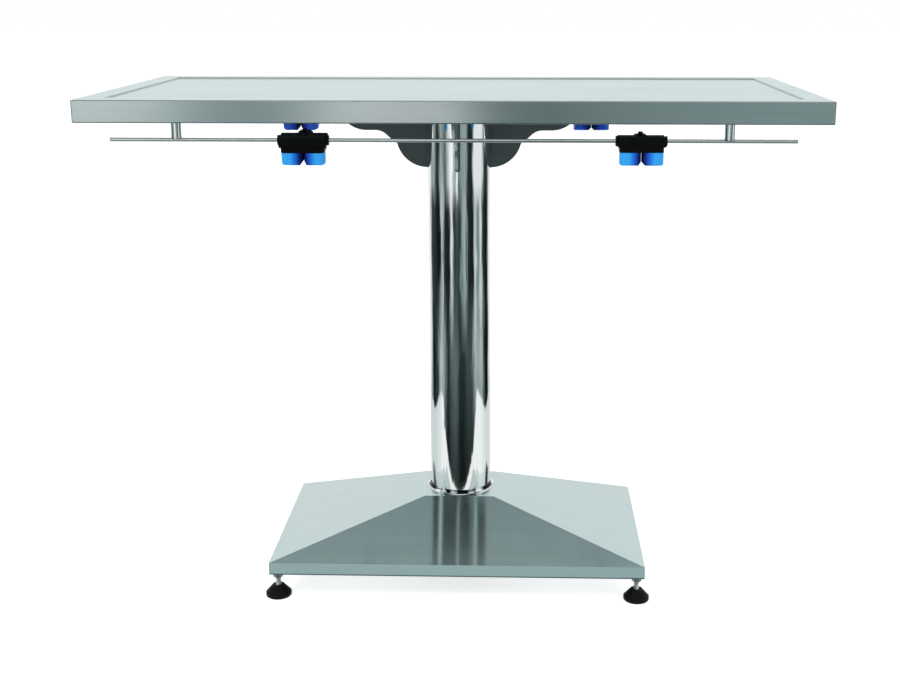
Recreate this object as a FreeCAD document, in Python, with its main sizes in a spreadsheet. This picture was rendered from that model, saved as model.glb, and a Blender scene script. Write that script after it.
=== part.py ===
"""Stationary stainless pedestal examination table with tie rails and rope cam cleats.

Frame: +Z up, +X along the table, the front faces -Y, origin on the floor below the column.
Sizes holds the driving dimensions in millimetres and degrees; Places works out the levels and
stations where pieces meet. Each piece is a separate object, written to parts/LABEL.step.
"""
import math
import os

import FreeCAD
import Part
import Sketcher
from FreeCAD import Placement, Rotation, Vector

SIZES = [
    # alias, value, meaning
    ("table_height", 914.4, "floor to the top of the rim"),
    ("top_length", 1219.2, "table top along X"),
    ("top_width", 558.8, "table top along Y"),
    ("apron_height", 37, "folded apron, rim to hem"),
    ("sheet_gauge", 1.5, "stainless sheet of the top"),
    ("rim_width", 41, "flat rim round the tray"),
    ("tray_depth", 3, "rim to tray floor"),
    ("tray_slope", 1.2, "run of the tray's sloped wall"),
    ("fold_radius", 2.2, "outside radius of the top's folds"),
    ("hem_width", 12, "inward hem under the apron"),
    ("stiffener_length", 1000, "hat channel along X"),
    ("stiffener_offset", 130, "channel centre from the table's centre line"),
    ("stiffener_height", 25, "hat channel height"),
    ("stiffener_web", 50, "hat channel web width"),
    ("stiffener_flange", 16, "hat channel flange width"),
    ("stiffener_gauge", 2, "hat channel sheet"),
    ("mount_plate_side", 440, "square plate on the column head"),
    ("mount_plate_thickness", 6, "plate on the column head"),
    ("mount_bolt_x", 180, "head bolts from the centre, along X"),
    ("column_diameter", 114.3, "column tube outside"),
    ("column_wall", 3, "column tube wall"),
    ("gusset_thickness", 5, "gusset plate"),
    ("gusset_drop", 108.5, "mount plate to the gusset's lowest point"),
    ("gusset_lobe_radius", 57, "round lower lobe of the gusset"),
    ("gusset_lobe_angle", 14, "degrees the lobe's arc runs past its centre height"),
    ("gusset_relief", 2.2, "bevel beside the column weld"),
    ("gusset_shoulder_drop", 41.5, "mount plate to the gusset's flat shoulder"),
    ("gusset_shoulder_start", 152, "shoulder's inner end from the column axis"),
    ("gusset_shoulder_end", 168, "shoulder's outer end from the column axis"),
    ("gusset_shoulder_radius", 30, "round of the shoulder"),
    ("gusset_shoulder_angle", 50, "degrees of the shoulder's round"),
    ("gusset_sweep_radius", 52, "hollow sweep out to the tip"),
    ("gusset_tip", 6, "height of the gusset's outer end"),
    ("collar_radius", 63, "column trim ring outside"),
    ("collar_height", 8, "column trim ring"),
    ("collar_foot", 1.6, "thin outer edge of the trim ring"),
    ("collar_lip", 1.2, "thin upper edge of the trim ring"),
    ("collar_gap", 0.2, "trim ring to column"),
    ("cover_length", 685, "base cover along X"),
    ("cover_width", 387, "base cover along Y"),
    ("cover_bottom", 48.5, "floor to the skirt's lower edge"),
    ("skirt_height", 23, "upright skirt of the base cover"),
    ("platform_height", 153.5, "floor to the cover's square platform"),
    ("platform_side", 130, "square platform round the column"),
    ("cover_gauge", 1.5, "stainless sheet of the base cover"),
    ("cover_hole_gap", 0.6, "cover's hole to column"),
    ("frame_gap", 0.5, "base frame to the cover's skirt"),
    ("frame_bottom", 49.5, "floor to the base frame"),
    ("frame_height", 20, "base frame channel height"),
    ("frame_channel", 25, "base frame channel width"),
    ("frame_wall", 3, "base frame channel wall"),
    ("frame_cross_offset", 75, "cross channels from the centre, along X"),
    ("flange_length", 200, "column flange along X"),
    ("flange_width", 160, "column flange along Y"),
    ("flange_thickness", 8, "column flange"),
    ("flange_bolt_y", 62, "flange bolts from the centre, along Y"),
    ("bolt_diameter", 10, "frame bolts"),
    ("bolt_length", 16, "frame bolts under the head"),
    ("bolt_head", 6.4, "frame bolt head height"),
    ("bolt_flats", 17, "frame bolt head across flats"),
    ("bolt_hole_gap", 0.25, "radial gap of a frame bolt in its plate"),
    ("foot_end_inset", 12.9, "foot axis inside the cover's ends"),
    ("foot_side_inset", 18.5, "foot axis inside the cover's long sides"),
    ("boss_radius", 10.5, "threaded boss in the frame's corners"),
    ("boss_drop", 4.5, "boss below the frame"),
    ("stud_diameter", 9.525, "levelling stud"),
    ("stud_top", 59, "floor to the stud's upper end"),
    ("stud_fit", 0.08, "radial running gap of the stud"),
    ("locknut_height", 8.3, "levelling stud's lock nut"),
    ("locknut_flats", 15.88, "lock nut across flats"),
    ("pad_diameter", 47, "levelling foot's pad"),
    ("pad_height", 21, "pad's top above the floor"),
    ("pad_side", 7, "height of the pad's upright side"),
    ("pad_top_diameter", 22, "pad's flat top"),
    ("pad_edge", 1.5, "bevel under the pad"),
    ("pad_socket_floor", 6, "floor to the pad's socket bottom"),
    ("seat_gap", 0.3, "gap between pieces that move past each other"),
    ("rail_diameter", 6.35, "tie rail rod"),
    ("rail_end_inset", 52.1, "rail's end inside the table's end"),
    ("rail_inset", 26.7, "rail axis behind the apron's face"),
    ("rail_drop", 29.1, "rail axis below the apron"),
    ("rail_bevel", 0.6, "bevel on the rail's ends"),
    ("post_diameter", 16, "rail posts"),
    ("post_inset", 161.6, "rail posts inside the table's ends"),
    ("post_cope", 0.8, "depth of the rail's seat in a post"),
    ("front_left_station", -241, "cleat station along X"),
    ("front_right_station", 306.5, "cleat station along X"),
    ("back_left_station", -331.5, "cleat station along X"),
    ("back_right_station", 252.7, "cleat station along X"),
    ("front_left_lean_angle", 10, "degrees that this cleat hangs turned on its rail"),
    ("front_right_lean_angle", 0, "degrees that this cleat hangs turned on its rail"),
    ("back_left_lean_angle", -12, "degrees that this cleat hangs turned on its rail"),
    ("back_right_lean_angle", 8, "degrees that this cleat hangs turned on its rail"),
    ("sleeve_radius", 4.5, "cleat sleeve outside"),
    ("sleeve_length", 83, "cleat sleeve with both flanges"),
    ("sleeve_flange_radius", 8.5, "sleeve end flanges"),
    ("sleeve_flange_thickness", 2.8, "sleeve end flanges"),
    ("running_gap", 0.08, "radial gap of running fits in a cleat"),
    ("saddle_height", 17, "cleat saddle along Z"),
    ("saddle_depth", 32, "cleat saddle along Y"),
    ("saddle_round", 2.5, "rounded upper edges of the saddle"),
    ("ear_length", 24, "clamp ears along X, at their foot"),
    ("ear_top_length", 16, "upper clamp ear along X, at its top"),
    ("ear_bevel", 3.3, "height of the upper ear's sloped sides"),
    ("ear_reach", 29, "clamp ears, from the rail's axis to their back"),
    ("ear_rise", 0.8, "upper clamp ear above the saddle"),
    ("clamp_slit", 1.6, "slit that lets the saddle clamp its sleeve"),
    ("lock_offset", 20, "lock screw behind the rail's axis"),
    ("lock_head_radius", 4.2, "lock screw head"),
    ("lock_head_height", 3.9, "lock screw head"),
    ("lock_head_round", 2, "rounded top of the lock screw"),
    ("lock_shank_radius", 2.5, "lock screw thread"),
    ("lock_tip_gap", 1.5, "lock screw's tip above the saddle's lower face"),
    ("cleat_base_length", 71, "cleat base along X"),
    ("cleat_base_depth", 36, "cleat base along Y"),
    ("cleat_base_height", 8, "cleat base plate"),
    ("cleat_base_round", 5, "corners of the cleat base"),
    ("pivot_offset", 19.4, "cam pivot from the cleat's centre"),
    ("pivot_radius", 4.5, "hollow posts that the cams turn on"),
    ("cam_height", 20.8, "cam along its axis"),
    ("cam_face_radius", 18.95, "pivot to the toothed face, on the line of pivots"),
    ("cam_back_radius", 16, "round back of the cam"),
    ("cam_corner_radius", 8, "outer corner of the cam's flat front"),
    ("cam_back_angle", 110, "degrees where the round back ends, towards the table"),
    ("cam_growth_rate", 0.16, "growth of the face's spiral per radian"),
    ("cam_face_inner_angle", 50, "degrees of toothed face towards the table"),
    ("cam_face_outer_angle", 61, "degrees of toothed face towards the user"),
    ("cam_teeth", 12, "teeth of one cam"),
    ("cam_tooth_depth", 1.1, "depth of a tooth"),
    ("cam_mouth_width", 4.9, "lead-in bevel at the rope's mouth, along X"),
    ("cam_mouth_height", 5, "lead-in bevel at the rope's mouth, along Z"),
    ("cam_edge", 3, "rounded lower edge of the cam's back"),
    ("cam_recess_radius", 6.5, "recess for the pivot screw's head"),
    ("cam_recess_depth", 3.8, "recess for the pivot screw's head"),
    ("cam_screw_head_radius", 5.6, "pivot screw head"),
    ("cam_screw_head_height", 3, "pivot screw head"),
    ("cam_screw_radius", 2, "pivot screw thread"),
    ("cam_screw_reach", 3.2, "pivot screw's thread in the saddle"),
    ("spring_pocket_radius", 7.4, "spring's pocket in the cam"),
    ("spring_pocket_depth", 5.2, "spring's pocket in the cam"),
    ("spring_radius", 5.9, "cam spring, mean radius"),
    ("spring_wire", 1, "cam spring wire"),
    ("spring_pitch", 1.25, "cam spring pitch"),
    ("spring_turns", 3, "cam spring turns"),
]

PLACES = [
    # alias, formula
    ("apron_bottom", "Sizes.table_height - Sizes.apron_height"),
    ("tray_level", "Sizes.table_height - Sizes.tray_depth"),
    ("tray_underside", "Sizes.table_height - Sizes.tray_depth - Sizes.sheet_gauge"),
    ("rim_underside", "Sizes.table_height - Sizes.sheet_gauge"),
    ("stiffener_bottom", "tray_underside - Sizes.stiffener_height"),
    ("mount_plate_bottom", "stiffener_bottom - Sizes.mount_plate_thickness"),
    ("column_radius", "Sizes.column_diameter / 2"),
    ("skirt_top", "Sizes.cover_bottom + Sizes.skirt_height"),
    ("brim_inside", "skirt_top - 0.65 * Sizes.cover_gauge"),
    ("platform_inside", "Sizes.platform_side - 0.4 * Sizes.cover_gauge"),
    ("frame_length", "Sizes.cover_length - 2 * Sizes.cover_gauge - 2 * Sizes.frame_gap"),
    ("frame_width", "Sizes.cover_width - 2 * Sizes.cover_gauge - 2 * Sizes.frame_gap"),
    ("frame_top", "Sizes.frame_bottom + Sizes.frame_height"),
    ("column_bottom", "frame_top + Sizes.flange_thickness"),
    ("column_length", "mount_plate_bottom - column_bottom"),
    ("foot_x", "Sizes.cover_length / 2 - Sizes.foot_end_inset"),
    ("foot_y", "Sizes.cover_width / 2 - Sizes.foot_side_inset"),
    ("boss_bottom", "Sizes.frame_bottom - Sizes.boss_drop"),
    ("locknut_bottom", "boss_bottom - Sizes.locknut_height"),
    ("stud_radius", "Sizes.stud_diameter / 2"),
    ("stud_bore", "stud_radius + Sizes.stud_fit"),
    ("stud_bottom", "Sizes.pad_socket_floor + Sizes.seat_gap"),
    ("rail_level", "apron_bottom - Sizes.rail_drop"),
    ("rail_y", "Sizes.top_width / 2 - Sizes.rail_inset"),
    ("rail_radius", "Sizes.rail_diameter / 2"),
    ("rail_length", "Sizes.top_length - 2 * Sizes.rail_end_inset"),
    ("post_offset", "Sizes.top_length / 2 - Sizes.post_inset"),
    ("post_bottom", "rail_level + rail_radius - Sizes.post_cope"),
    ("sleeve_bore", "rail_radius + Sizes.running_gap"),
    ("saddle_half", "Sizes.saddle_height / 2"),
    ("saddle_length", "Sizes.sleeve_length - 2 * Sizes.sleeve_flange_thickness - 2 * Sizes.seat_gap"),
    ("saddle_bore", "Sizes.sleeve_radius + Sizes.running_gap"),
    ("ear_top", "saddle_half + Sizes.ear_rise"),
    ("lock_bore", "Sizes.lock_shank_radius + Sizes.running_gap"),
    ("cleat_base_bottom", "-saddle_half - Sizes.cleat_base_height"),
    ("cam_top", "cleat_base_bottom - Sizes.seat_gap"),
    ("cam_bottom", "cam_top - Sizes.cam_height"),
    ("cam_recess_level", "cam_bottom + Sizes.cam_recess_depth"),
    ("pivot_bottom", "cam_recess_level - Sizes.seat_gap"),
    ("pivot_bore", "Sizes.pivot_radius + Sizes.running_gap"),
    ("cam_screw_top", "-saddle_half + Sizes.cam_screw_reach"),
]

doc = FreeCAD.newDocument("exam_table")


def new_sheet(name, rows):
    """A spreadsheet with one named cell for each (alias, content, meaning)."""
    sheet = doc.addObject("Spreadsheet::Sheet", name)
    for row, (alias, content, meaning) in enumerate(rows, start=1):
        sheet.set(f"A{row}", meaning)
        sheet.set(f"B{row}", content)
        sheet.setAlias(f"B{row}", alias)
        doc.recompute()
    return sheet


sizes = new_sheet("Sizes", [(alias, str(value), meaning) for alias, value, meaning in SIZES])
places = new_sheet("Places", [(alias, "=" + formula, "worked out") for alias, formula in PLACES])
SIZE_NAMES = {alias for alias, _, _ in SIZES}
nodes = []


def number(alias):
    """The present value of a named cell."""
    sheet = sizes if alias in SIZE_NAMES else places
    return float(sheet.get(alias))


def node(item, label):
    """Names a finished sub-part and lists it for export."""
    item.Label = label
    nodes.append(item)
    return item


def bind(item, **formulas):
    """Binds properties to cells; a double underscore in a name stands for a dot."""
    for name, formula in formulas.items():
        item.setExpression(name.replace("__", "."), formula)
    return item


def shift(item, x="0", y="0", z="0"):
    """Binds a placement's base to three formulas."""
    return bind(item, Placement__Base__x=x, Placement__Base__y=y, Placement__Base__z=z)


# Part primitives -----------------------------------------------------------------------------

def box(name, length, width, height, x="0", y="0", z="0"):
    """A block centred on x and y and standing on z."""
    item = bind(doc.addObject("Part::Box", name), Length=length, Width=width, Height=height)
    return shift(item, f"{x} - ({length}) / 2", f"{y} - ({width}) / 2", z)


def cylinder(name, radius, height, x="0", y="0", z="0", axis="Z"):
    """A round bar from (x, y, z) along +Z, or along +X."""
    item = bind(doc.addObject("Part::Cylinder", name), Radius=radius, Height=height)
    if axis == "X":
        item.Placement = Placement(Vector(), Rotation(Vector(0, 1, 0), 90))
    return shift(item, x, y, z)


def cut(name, base, tools):
    """The base with every tool taken out of it."""
    item = doc.addObject("Part::Cut", name)
    item.Base = base
    item.Tool = tools[0] if len(tools) == 1 else fuse(name + "_tools", tools)
    return item


def fuse(name, shapes):
    item = doc.addObject("Part::MultiFuse", name)
    item.Shapes = shapes
    return item


def group(name, members):
    """Equal loose pieces kept in one node as separate solids."""
    item = doc.addObject("Part::Compound", name)
    item.Links = members
    return item


# Sketches and part-design features ------------------------------------------------------------

def new_body(label):
    return doc.addObject("PartDesign::Body", label)


def new_sketch(body, plane, offset="0"):
    """A sketch on one of the body's origin planes, offset along the plane's normal."""
    sketch = body.newObject("Sketcher::SketchObject", body.Name + "_sketch")
    support = next(item for item in body.Origin.OriginFeatures if item.Role == plane)
    sketch.AttachmentSupport = [(support, "")]
    sketch.MapMode = "FlatFace"
    return bind(sketch, AttachmentOffset__Base__z=offset)


def constrain(sketch, kind, *parts, formula=None):
    """Adds a constraint; a dimension takes its value from a formula."""
    values = parts if formula is None else parts + (1.0,)
    index = sketch.addConstraint(Sketcher.Constraint(kind, *values))
    if formula is not None:
        sketch.setExpression(f"Constraints[{index}]", formula)


def add_loop(sketch, corners):
    """Closed straight outline through the corners; the geometry index of its first side."""
    first = sketch.GeometryCount
    count = len(corners)
    for index in range(count):
        sketch.addGeometry(Part.LineSegment(corners[index], corners[(index + 1) % count]), False)
    for index in range(count):
        constrain(sketch, "Coincident", first + index, 2, first + (index + 1) % count, 1)
    return first


def add_rectangle(sketch, width, depth):
    """A rectangle centred on the sketch's origin, sized by two formulas."""
    corners = [Vector(-9, -9, 0), Vector(9, -9, 0), Vector(9, 9, 0), Vector(-9, 9, 0)]
    first = add_loop(sketch, corners)
    for side in (0, 2):
        constrain(sketch, "Horizontal", first + side)
        constrain(sketch, "Vertical", first + side + 1)
    constrain(sketch, "Symmetric", first, 1, first + 1, 2, -1, 1)
    constrain(sketch, "DistanceX", first, 1, first, 2, formula=width)
    constrain(sketch, "DistanceY", first + 1, 1, first + 1, 2, formula=depth)


def add_circle(sketch, radius, x=None, y=None):
    """A circle on the sketch's origin, or at the signed formulas x and y."""
    index = sketch.addGeometry(Part.Circle(Vector(0, 0, 0), Vector(0, 0, 1), 1), False)
    constrain(sketch, "Radius", index, formula=radius)
    if x is None:
        constrain(sketch, "Coincident", index, 3, -1, 1)
        return
    constrain(sketch, "DistanceX", -1, 1, index, 3, formula=x)
    constrain(sketch, "DistanceY", -1, 1, index, 3, formula=y)


def add_path(sketch, edges):
    """Closed outline of ready lines and arcs, joined end to start."""
    first = sketch.GeometryCount
    for edge in edges:
        sketch.addGeometry(edge, False)
    return first


def extrude(body, kind, sketch, length, symmetric=False, back=False):
    """A Pad or Pocket whose length is bound to a formula."""
    feature = body.newObject("PartDesign::" + kind, body.Name + "_" + kind.lower())
    feature.Profile = sketch
    bind(feature, Length=length)
    if symmetric:
        feature.SideType = "Symmetric"
    feature.Reversed = back
    body.Tip = feature
    return feature


def pad(body, sketch, length, **options):
    return extrude(body, "Pad", sketch, length, **options)


def pocket(body, sketch, length, **options):
    """Removes material; checked, because a pocket that points away cuts nothing."""
    doc.recompute()
    before = body.Shape.Volume
    feature = extrude(body, "Pocket", sketch, length, **options)
    doc.recompute()
    if body.Shape.Volume > before - 1e-3:
        raise RuntimeError(f"{body.Name}: a pocket removed nothing")
    return feature


def dress(body, kind, size_name, formula, test):
    """A Fillet or Chamfer on the edges of the body's tip that pass the test."""
    doc.recompute()
    tip = body.Tip
    picked = [f"Edge{n}" for n, edge in enumerate(tip.Shape.Edges, start=1) if test(edge)]
    if not picked:
        raise RuntimeError(f"{body.Name}: no edge to dress")
    feature = body.newObject("PartDesign::" + kind, body.Name + "_" + kind.lower())
    feature.Base = (tip, picked)
    feature.setExpression(size_name, formula)
    body.Tip = feature
    return feature


def middle(edge):
    """The edge's middle point."""
    return edge.valueAt((edge.FirstParameter + edge.LastParameter) / 2)


def near(one, other):
    return abs(one - other) < 0.01


# Table top ------------------------------------------------------------------------------------

def make_table_top():
    """Folded pan: block, rounded folds, shallow tray above, hollow and hemmed below."""
    body = new_body("table_top")
    outer = new_sketch(body, "XY_Plane", "Places.apron_bottom")
    add_rectangle(outer, "Sizes.top_length", "Sizes.top_width")
    pad(body, outer, "Sizes.apron_height")
    half_length = number("top_length") / 2
    half_width = number("top_width") / 2

    def outer_fold(edge):
        spot = middle(edge)
        return near(abs(spot.x), half_length) or near(abs(spot.y), half_width)

    dress(body, "Fillet", "Radius", "Sizes.fold_radius", outer_fold)
    tray = new_sketch(body, "XY_Plane", "Sizes.table_height")
    add_rectangle(tray, "Sizes.top_length - 2 * Sizes.rim_width", "Sizes.top_width - 2 * Sizes.rim_width")
    recess = pocket(body, tray, "Sizes.tray_depth")
    recess.setExpression("TaperAngle", "-atan(Sizes.tray_slope / Sizes.tray_depth)")
    opening = new_sketch(body, "XY_Plane", "Places.apron_bottom")
    add_rectangle(opening, "Sizes.top_length - 2 * Sizes.hem_width", "Sizes.top_width - 2 * Sizes.hem_width")
    pocket(body, opening, "Sizes.apron_height - Sizes.tray_depth - Sizes.sheet_gauge", back=True)
    hollow = new_sketch(body, "XY_Plane", "Places.apron_bottom + Sizes.sheet_gauge")
    add_rectangle(hollow, "Sizes.top_length - 2 * Sizes.sheet_gauge",
                  "Sizes.top_width - 2 * Sizes.sheet_gauge")
    add_rectangle(hollow, "Sizes.top_length - 2 * Sizes.rim_width + 2 * Sizes.sheet_gauge",
                  "Sizes.top_width - 2 * Sizes.rim_width + 2 * Sizes.sheet_gauge")
    pocket(body, hollow, "Sizes.apron_height - 2 * Sizes.sheet_gauge", back=True)
    node(body, "table_top")


def make_top_stiffeners():
    """Two hat channels, welded by their flanges to the underside of the tray."""
    web = number("stiffener_web") / 2
    brim = web + number("stiffener_flange")
    gauge = number("stiffener_gauge")
    height = number("stiffener_height")
    right = [(web, 0), (web, height - gauge), (brim, height - gauge), (brim, height),
             (web - gauge, height), (web - gauge, gauge)]
    profile = [Vector(y, z, 0) for y, z in right] + [Vector(-y, z, 0) for y, z in reversed(right)]
    members = []
    for side, name in ((-1, "front"), (1, "back")):
        body = new_body(f"stiffener_{name}")
        sketch = new_sketch(body, "YZ_Plane")
        add_loop(sketch, profile)
        pad(body, sketch, "Sizes.stiffener_length", symmetric=True)
        holes = new_sketch(body, "XY_Plane")
        for end in (-1, 1):
            add_circle(holes, "Sizes.bolt_diameter / 2", f"{end} * Sizes.mount_bolt_x", "0")
        pocket(body, holes, "Sizes.stiffener_gauge", back=True)
        shift(body, "0", f"{side} * Sizes.stiffener_offset", "Places.stiffener_bottom")
        members.append(body)
    node(group("top_stiffeners", members), "top_stiffeners")


def make_plate(label, length, width, thickness, bolt_x, bolt_y, level):
    """Flat steel plate with four bolt holes."""
    body = new_body(label)
    sketch = new_sketch(body, "XY_Plane")
    add_rectangle(sketch, length, width)
    for along in (-1, 1):
        for across in (-1, 1):
            add_circle(sketch, "Sizes.bolt_diameter / 2 + Sizes.bolt_hole_gap",
                       f"{along} * {bolt_x}", f"{across} * {bolt_y}")
    pad(body, sketch, thickness)
    shift(body, z=level)
    node(body, label)


# Column ---------------------------------------------------------------------------------------

def make_column_tube():
    body = new_body("column_tube")
    sketch = new_sketch(body, "XY_Plane")
    add_circle(sketch, "Places.column_radius")
    add_circle(sketch, "Places.column_radius - Sizes.column_wall")
    pad(body, sketch, "Places.column_length")
    shift(body, z="Places.column_bottom")
    node(body, "column_tube")


def arc_about(centre, radius, start, end):
    """Arc of a circle between two angles in degrees, either way round."""
    angles = (start, (start + end) / 2, end)
    points = [centre + radius * Vector(math.cos(math.radians(a)), math.sin(math.radians(a)), 0)
              for a in angles]
    return points, Part.Arc(*points)


def gusset_outline():
    """Ogee outline below the mount plate: round lobe at the column, shoulder, swept tip."""
    column = number("column_radius")
    drop = number("gusset_drop")
    lobe = number("gusset_lobe_radius")
    relief = number("gusset_relief")
    shoulder = number("gusset_shoulder_radius")
    sweep = number("gusset_sweep_radius")
    flat = -number("gusset_shoulder_drop")
    lobe_start = -90 + math.degrees(math.asin(relief / lobe))
    lobe_points, lobe_arc = arc_about(Vector(column, lobe - drop, 0), lobe,
                                      lobe_start, -number("gusset_lobe_angle"))
    round_centre = Vector(number("gusset_shoulder_start"), flat - shoulder, 0)
    round_points, round_arc = arc_about(round_centre, shoulder,
                                        90 + number("gusset_shoulder_angle"), 90)
    sweep_centre = Vector(number("gusset_shoulder_end"), flat + sweep, 0)
    tip_angle = -math.degrees(math.asin((sweep + flat + number("gusset_tip")) / sweep))
    sweep_points, sweep_arc = arc_about(sweep_centre, sweep, -90, tip_angle)
    tip = sweep_points[-1]
    stops = [Vector(column, relief - drop, 0), lobe_points[0], lobe_points[-1], round_points[0],
             round_points[-1], sweep_points[0], tip, Vector(tip.x, 0, 0), Vector(column, 0, 0)]
    return [Part.LineSegment(stops[0], stops[1]), lobe_arc, Part.LineSegment(stops[2], stops[3]),
            round_arc, Part.LineSegment(stops[4], stops[5]), sweep_arc,
            Part.LineSegment(stops[6], stops[7]), Part.LineSegment(stops[7], stops[8]),
            Part.LineSegment(stops[8], stops[0])]


def make_gussets():
    """Four equal gussets at right angles, welded to the column and to the mount plate."""
    for name, turn in (("right", 0), ("back", 90), ("left", 180), ("front", 270)):
        body = new_body(f"gusset_{name}")
        sketch = new_sketch(body, "XZ_Plane")
        add_path(sketch, gusset_outline())
        pad(body, sketch, "Sizes.gusset_thickness", symmetric=True)
        body.Placement = Placement(Vector(), Rotation(Vector(0, 0, 1), turn))
        shift(body, z="Places.mount_plate_bottom")
        node(body, f"gusset_{name}")


def make_column_collar():
    """Polished trim ring with a hollow flare, turned about the column's axis."""
    inner = number("column_radius") + number("collar_gap")
    outer = number("collar_radius")
    height = number("collar_height")
    foot = number("collar_foot")
    lip = inner + number("collar_lip")
    waist = Vector(lip + 0.3 * (outer - lip), foot + 0.3 * (height - foot), 0)
    corners = [Vector(inner, 0, 0), Vector(outer, 0, 0), Vector(outer, foot, 0),
               Vector(lip, height, 0), Vector(inner, height, 0)]
    body = new_body("column_collar")
    sketch = new_sketch(body, "XZ_Plane")
    add_path(sketch, [Part.LineSegment(corners[0], corners[1]), Part.LineSegment(corners[1], corners[2]),
                      Part.Arc(corners[2], waist, corners[3]), Part.LineSegment(corners[3], corners[4]),
                      Part.LineSegment(corners[4], corners[0])])
    turn(body, sketch, "V_Axis")
    shift(body, z="Sizes.platform_height")
    node(body, "column_collar")


def turn(body, sketch, axis):
    """A full revolution of the sketch about its own horizontal or vertical axis."""
    feature = body.newObject("PartDesign::Revolution", body.Name + "_revolution")
    feature.Profile = sketch
    feature.ReferenceAxis = (sketch, [axis])
    feature.Angle = 360
    body.Tip = feature
    return feature


# Base -----------------------------------------------------------------------------------------

def make_base_cover():
    """Skirt and pyramid in one, hollowed to sheet gauge from below and holed for the column."""
    body = new_body("base_cover")
    foot = new_sketch(body, "XY_Plane", "Sizes.cover_bottom")
    add_rectangle(foot, "Sizes.cover_length", "Sizes.cover_width")
    pad(body, foot, "Sizes.skirt_height")
    brim = new_sketch(body, "XY_Plane", "Places.skirt_top")
    add_rectangle(brim, "Sizes.cover_length", "Sizes.cover_width")
    platform = new_sketch(body, "XY_Plane", "Sizes.platform_height")
    add_rectangle(platform, "Sizes.platform_side", "Sizes.platform_side")
    pyramid = body.newObject("PartDesign::AdditiveLoft", "base_cover_pyramid")
    pyramid.Profile = brim
    pyramid.Sections = [platform]
    pyramid.Ruled = True
    body.Tip = pyramid
    skirt = new_sketch(body, "XY_Plane", "Sizes.cover_bottom")
    add_rectangle(skirt, "Sizes.cover_length - 2 * Sizes.cover_gauge",
                  "Sizes.cover_width - 2 * Sizes.cover_gauge")
    pocket(body, skirt, "Places.brim_inside - Sizes.cover_bottom", back=True)
    inner_brim = new_sketch(body, "XY_Plane", "Places.brim_inside")
    add_rectangle(inner_brim, "Sizes.cover_length - 2 * Sizes.cover_gauge",
                  "Sizes.cover_width - 2 * Sizes.cover_gauge")
    inner_platform = new_sketch(body, "XY_Plane", "Sizes.platform_height - Sizes.cover_gauge")
    add_rectangle(inner_platform, "Places.platform_inside", "Places.platform_inside")
    hollow = body.newObject("PartDesign::SubtractiveLoft", "base_cover_hollow")
    hollow.Profile = inner_brim
    hollow.Sections = [inner_platform]
    hollow.Ruled = True
    body.Tip = hollow
    hole = new_sketch(body, "XY_Plane", "Sizes.platform_height")
    add_circle(hole, "Places.column_radius + Sizes.cover_hole_gap")
    pocket(body, hole, "Sizes.skirt_height")
    node(body, "base_cover")


def make_base_frame():
    """Channel ring with two cross channels, open below, and a threaded boss in each corner."""
    body = new_body("base_frame")
    ring = new_sketch(body, "XY_Plane", "Sizes.frame_bottom")
    add_rectangle(ring, "Places.frame_length", "Places.frame_width")
    add_rectangle(ring, "Places.frame_length - 2 * Sizes.frame_channel",
                  "Places.frame_width - 2 * Sizes.frame_channel")
    pad(body, ring, "Sizes.frame_height")
    for side in (-1, 1):
        cross = new_sketch(body, "XY_Plane", "Sizes.frame_bottom")
        cross.setExpression("AttachmentOffset.Base.x", f"{side} * Sizes.frame_cross_offset")
        add_rectangle(cross, "Sizes.frame_channel", "Places.frame_width - Sizes.frame_channel")
        pad(body, cross, "Sizes.frame_height")
    groove = new_sketch(body, "XY_Plane", "Sizes.frame_bottom")
    add_rectangle(groove, "Places.frame_length - 2 * Sizes.frame_wall",
                  "Places.frame_width - 2 * Sizes.frame_wall")
    add_rectangle(groove, "Places.frame_length - 2 * Sizes.frame_channel + 2 * Sizes.frame_wall",
                  "Places.frame_width - 2 * Sizes.frame_channel + 2 * Sizes.frame_wall")
    pocket(body, groove, "Sizes.frame_height - Sizes.frame_wall", back=True)
    for side in (-1, 1):
        cross = new_sketch(body, "XY_Plane", "Sizes.frame_bottom")
        cross.setExpression("AttachmentOffset.Base.x", f"{side} * Sizes.frame_cross_offset")
        add_rectangle(cross, "Sizes.frame_channel - 2 * Sizes.frame_wall",
                      "Places.frame_width - 2 * Sizes.frame_channel")
        pocket(body, cross, "Sizes.frame_height - Sizes.frame_wall", back=True)
    corners = [(x, y) for x in (-1, 1) for y in (-1, 1)]
    bosses = new_sketch(body, "XY_Plane", "Places.boss_bottom")
    for x, y in corners:
        add_circle(bosses, "Sizes.boss_radius", f"{x} * Places.foot_x", f"{y} * Places.foot_y")
    pad(body, bosses, "Sizes.boss_drop + Sizes.frame_height - Sizes.frame_wall / 2")
    bores = new_sketch(body, "XY_Plane", "Places.boss_bottom")
    for x, y in corners:
        add_circle(bores, "Places.stud_bore", f"{x} * Places.foot_x", f"{y} * Places.foot_y")
        add_circle(bores, "Sizes.bolt_diameter / 2", f"{x} * Sizes.frame_cross_offset",
                   f"{y} * Sizes.flange_bolt_y")
    pocket(body, bores, "Sizes.boss_drop + Sizes.frame_height", back=True)
    node(body, "base_frame")


def hex_head(name, flats, height):
    """Six-sided prism across the given flats."""
    return bind(doc.addObject("Part::Prism", name), Circumradius=f"{flats} / sqrt(3)", Height=height)


def make_frame_bolt(name, x, y, level, up):
    """Hex bolt; level is the face its head bears on, and up says which way the thread points."""
    head = hex_head(name + "_head", "Sizes.bolt_flats", "Sizes.bolt_head")
    shank = cylinder(name + "_shank", "Sizes.bolt_diameter / 2", "Sizes.bolt_length",
                     z="Sizes.bolt_head")
    bolt = fuse(name, [head, shank])
    if up:
        return shift(bolt, x, y, f"{level} - Sizes.bolt_head")
    bolt.Placement = Placement(Vector(), Rotation(Vector(1, 0, 0), 180))
    return shift(bolt, x, y, f"{level} + Sizes.bolt_head")


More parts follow.
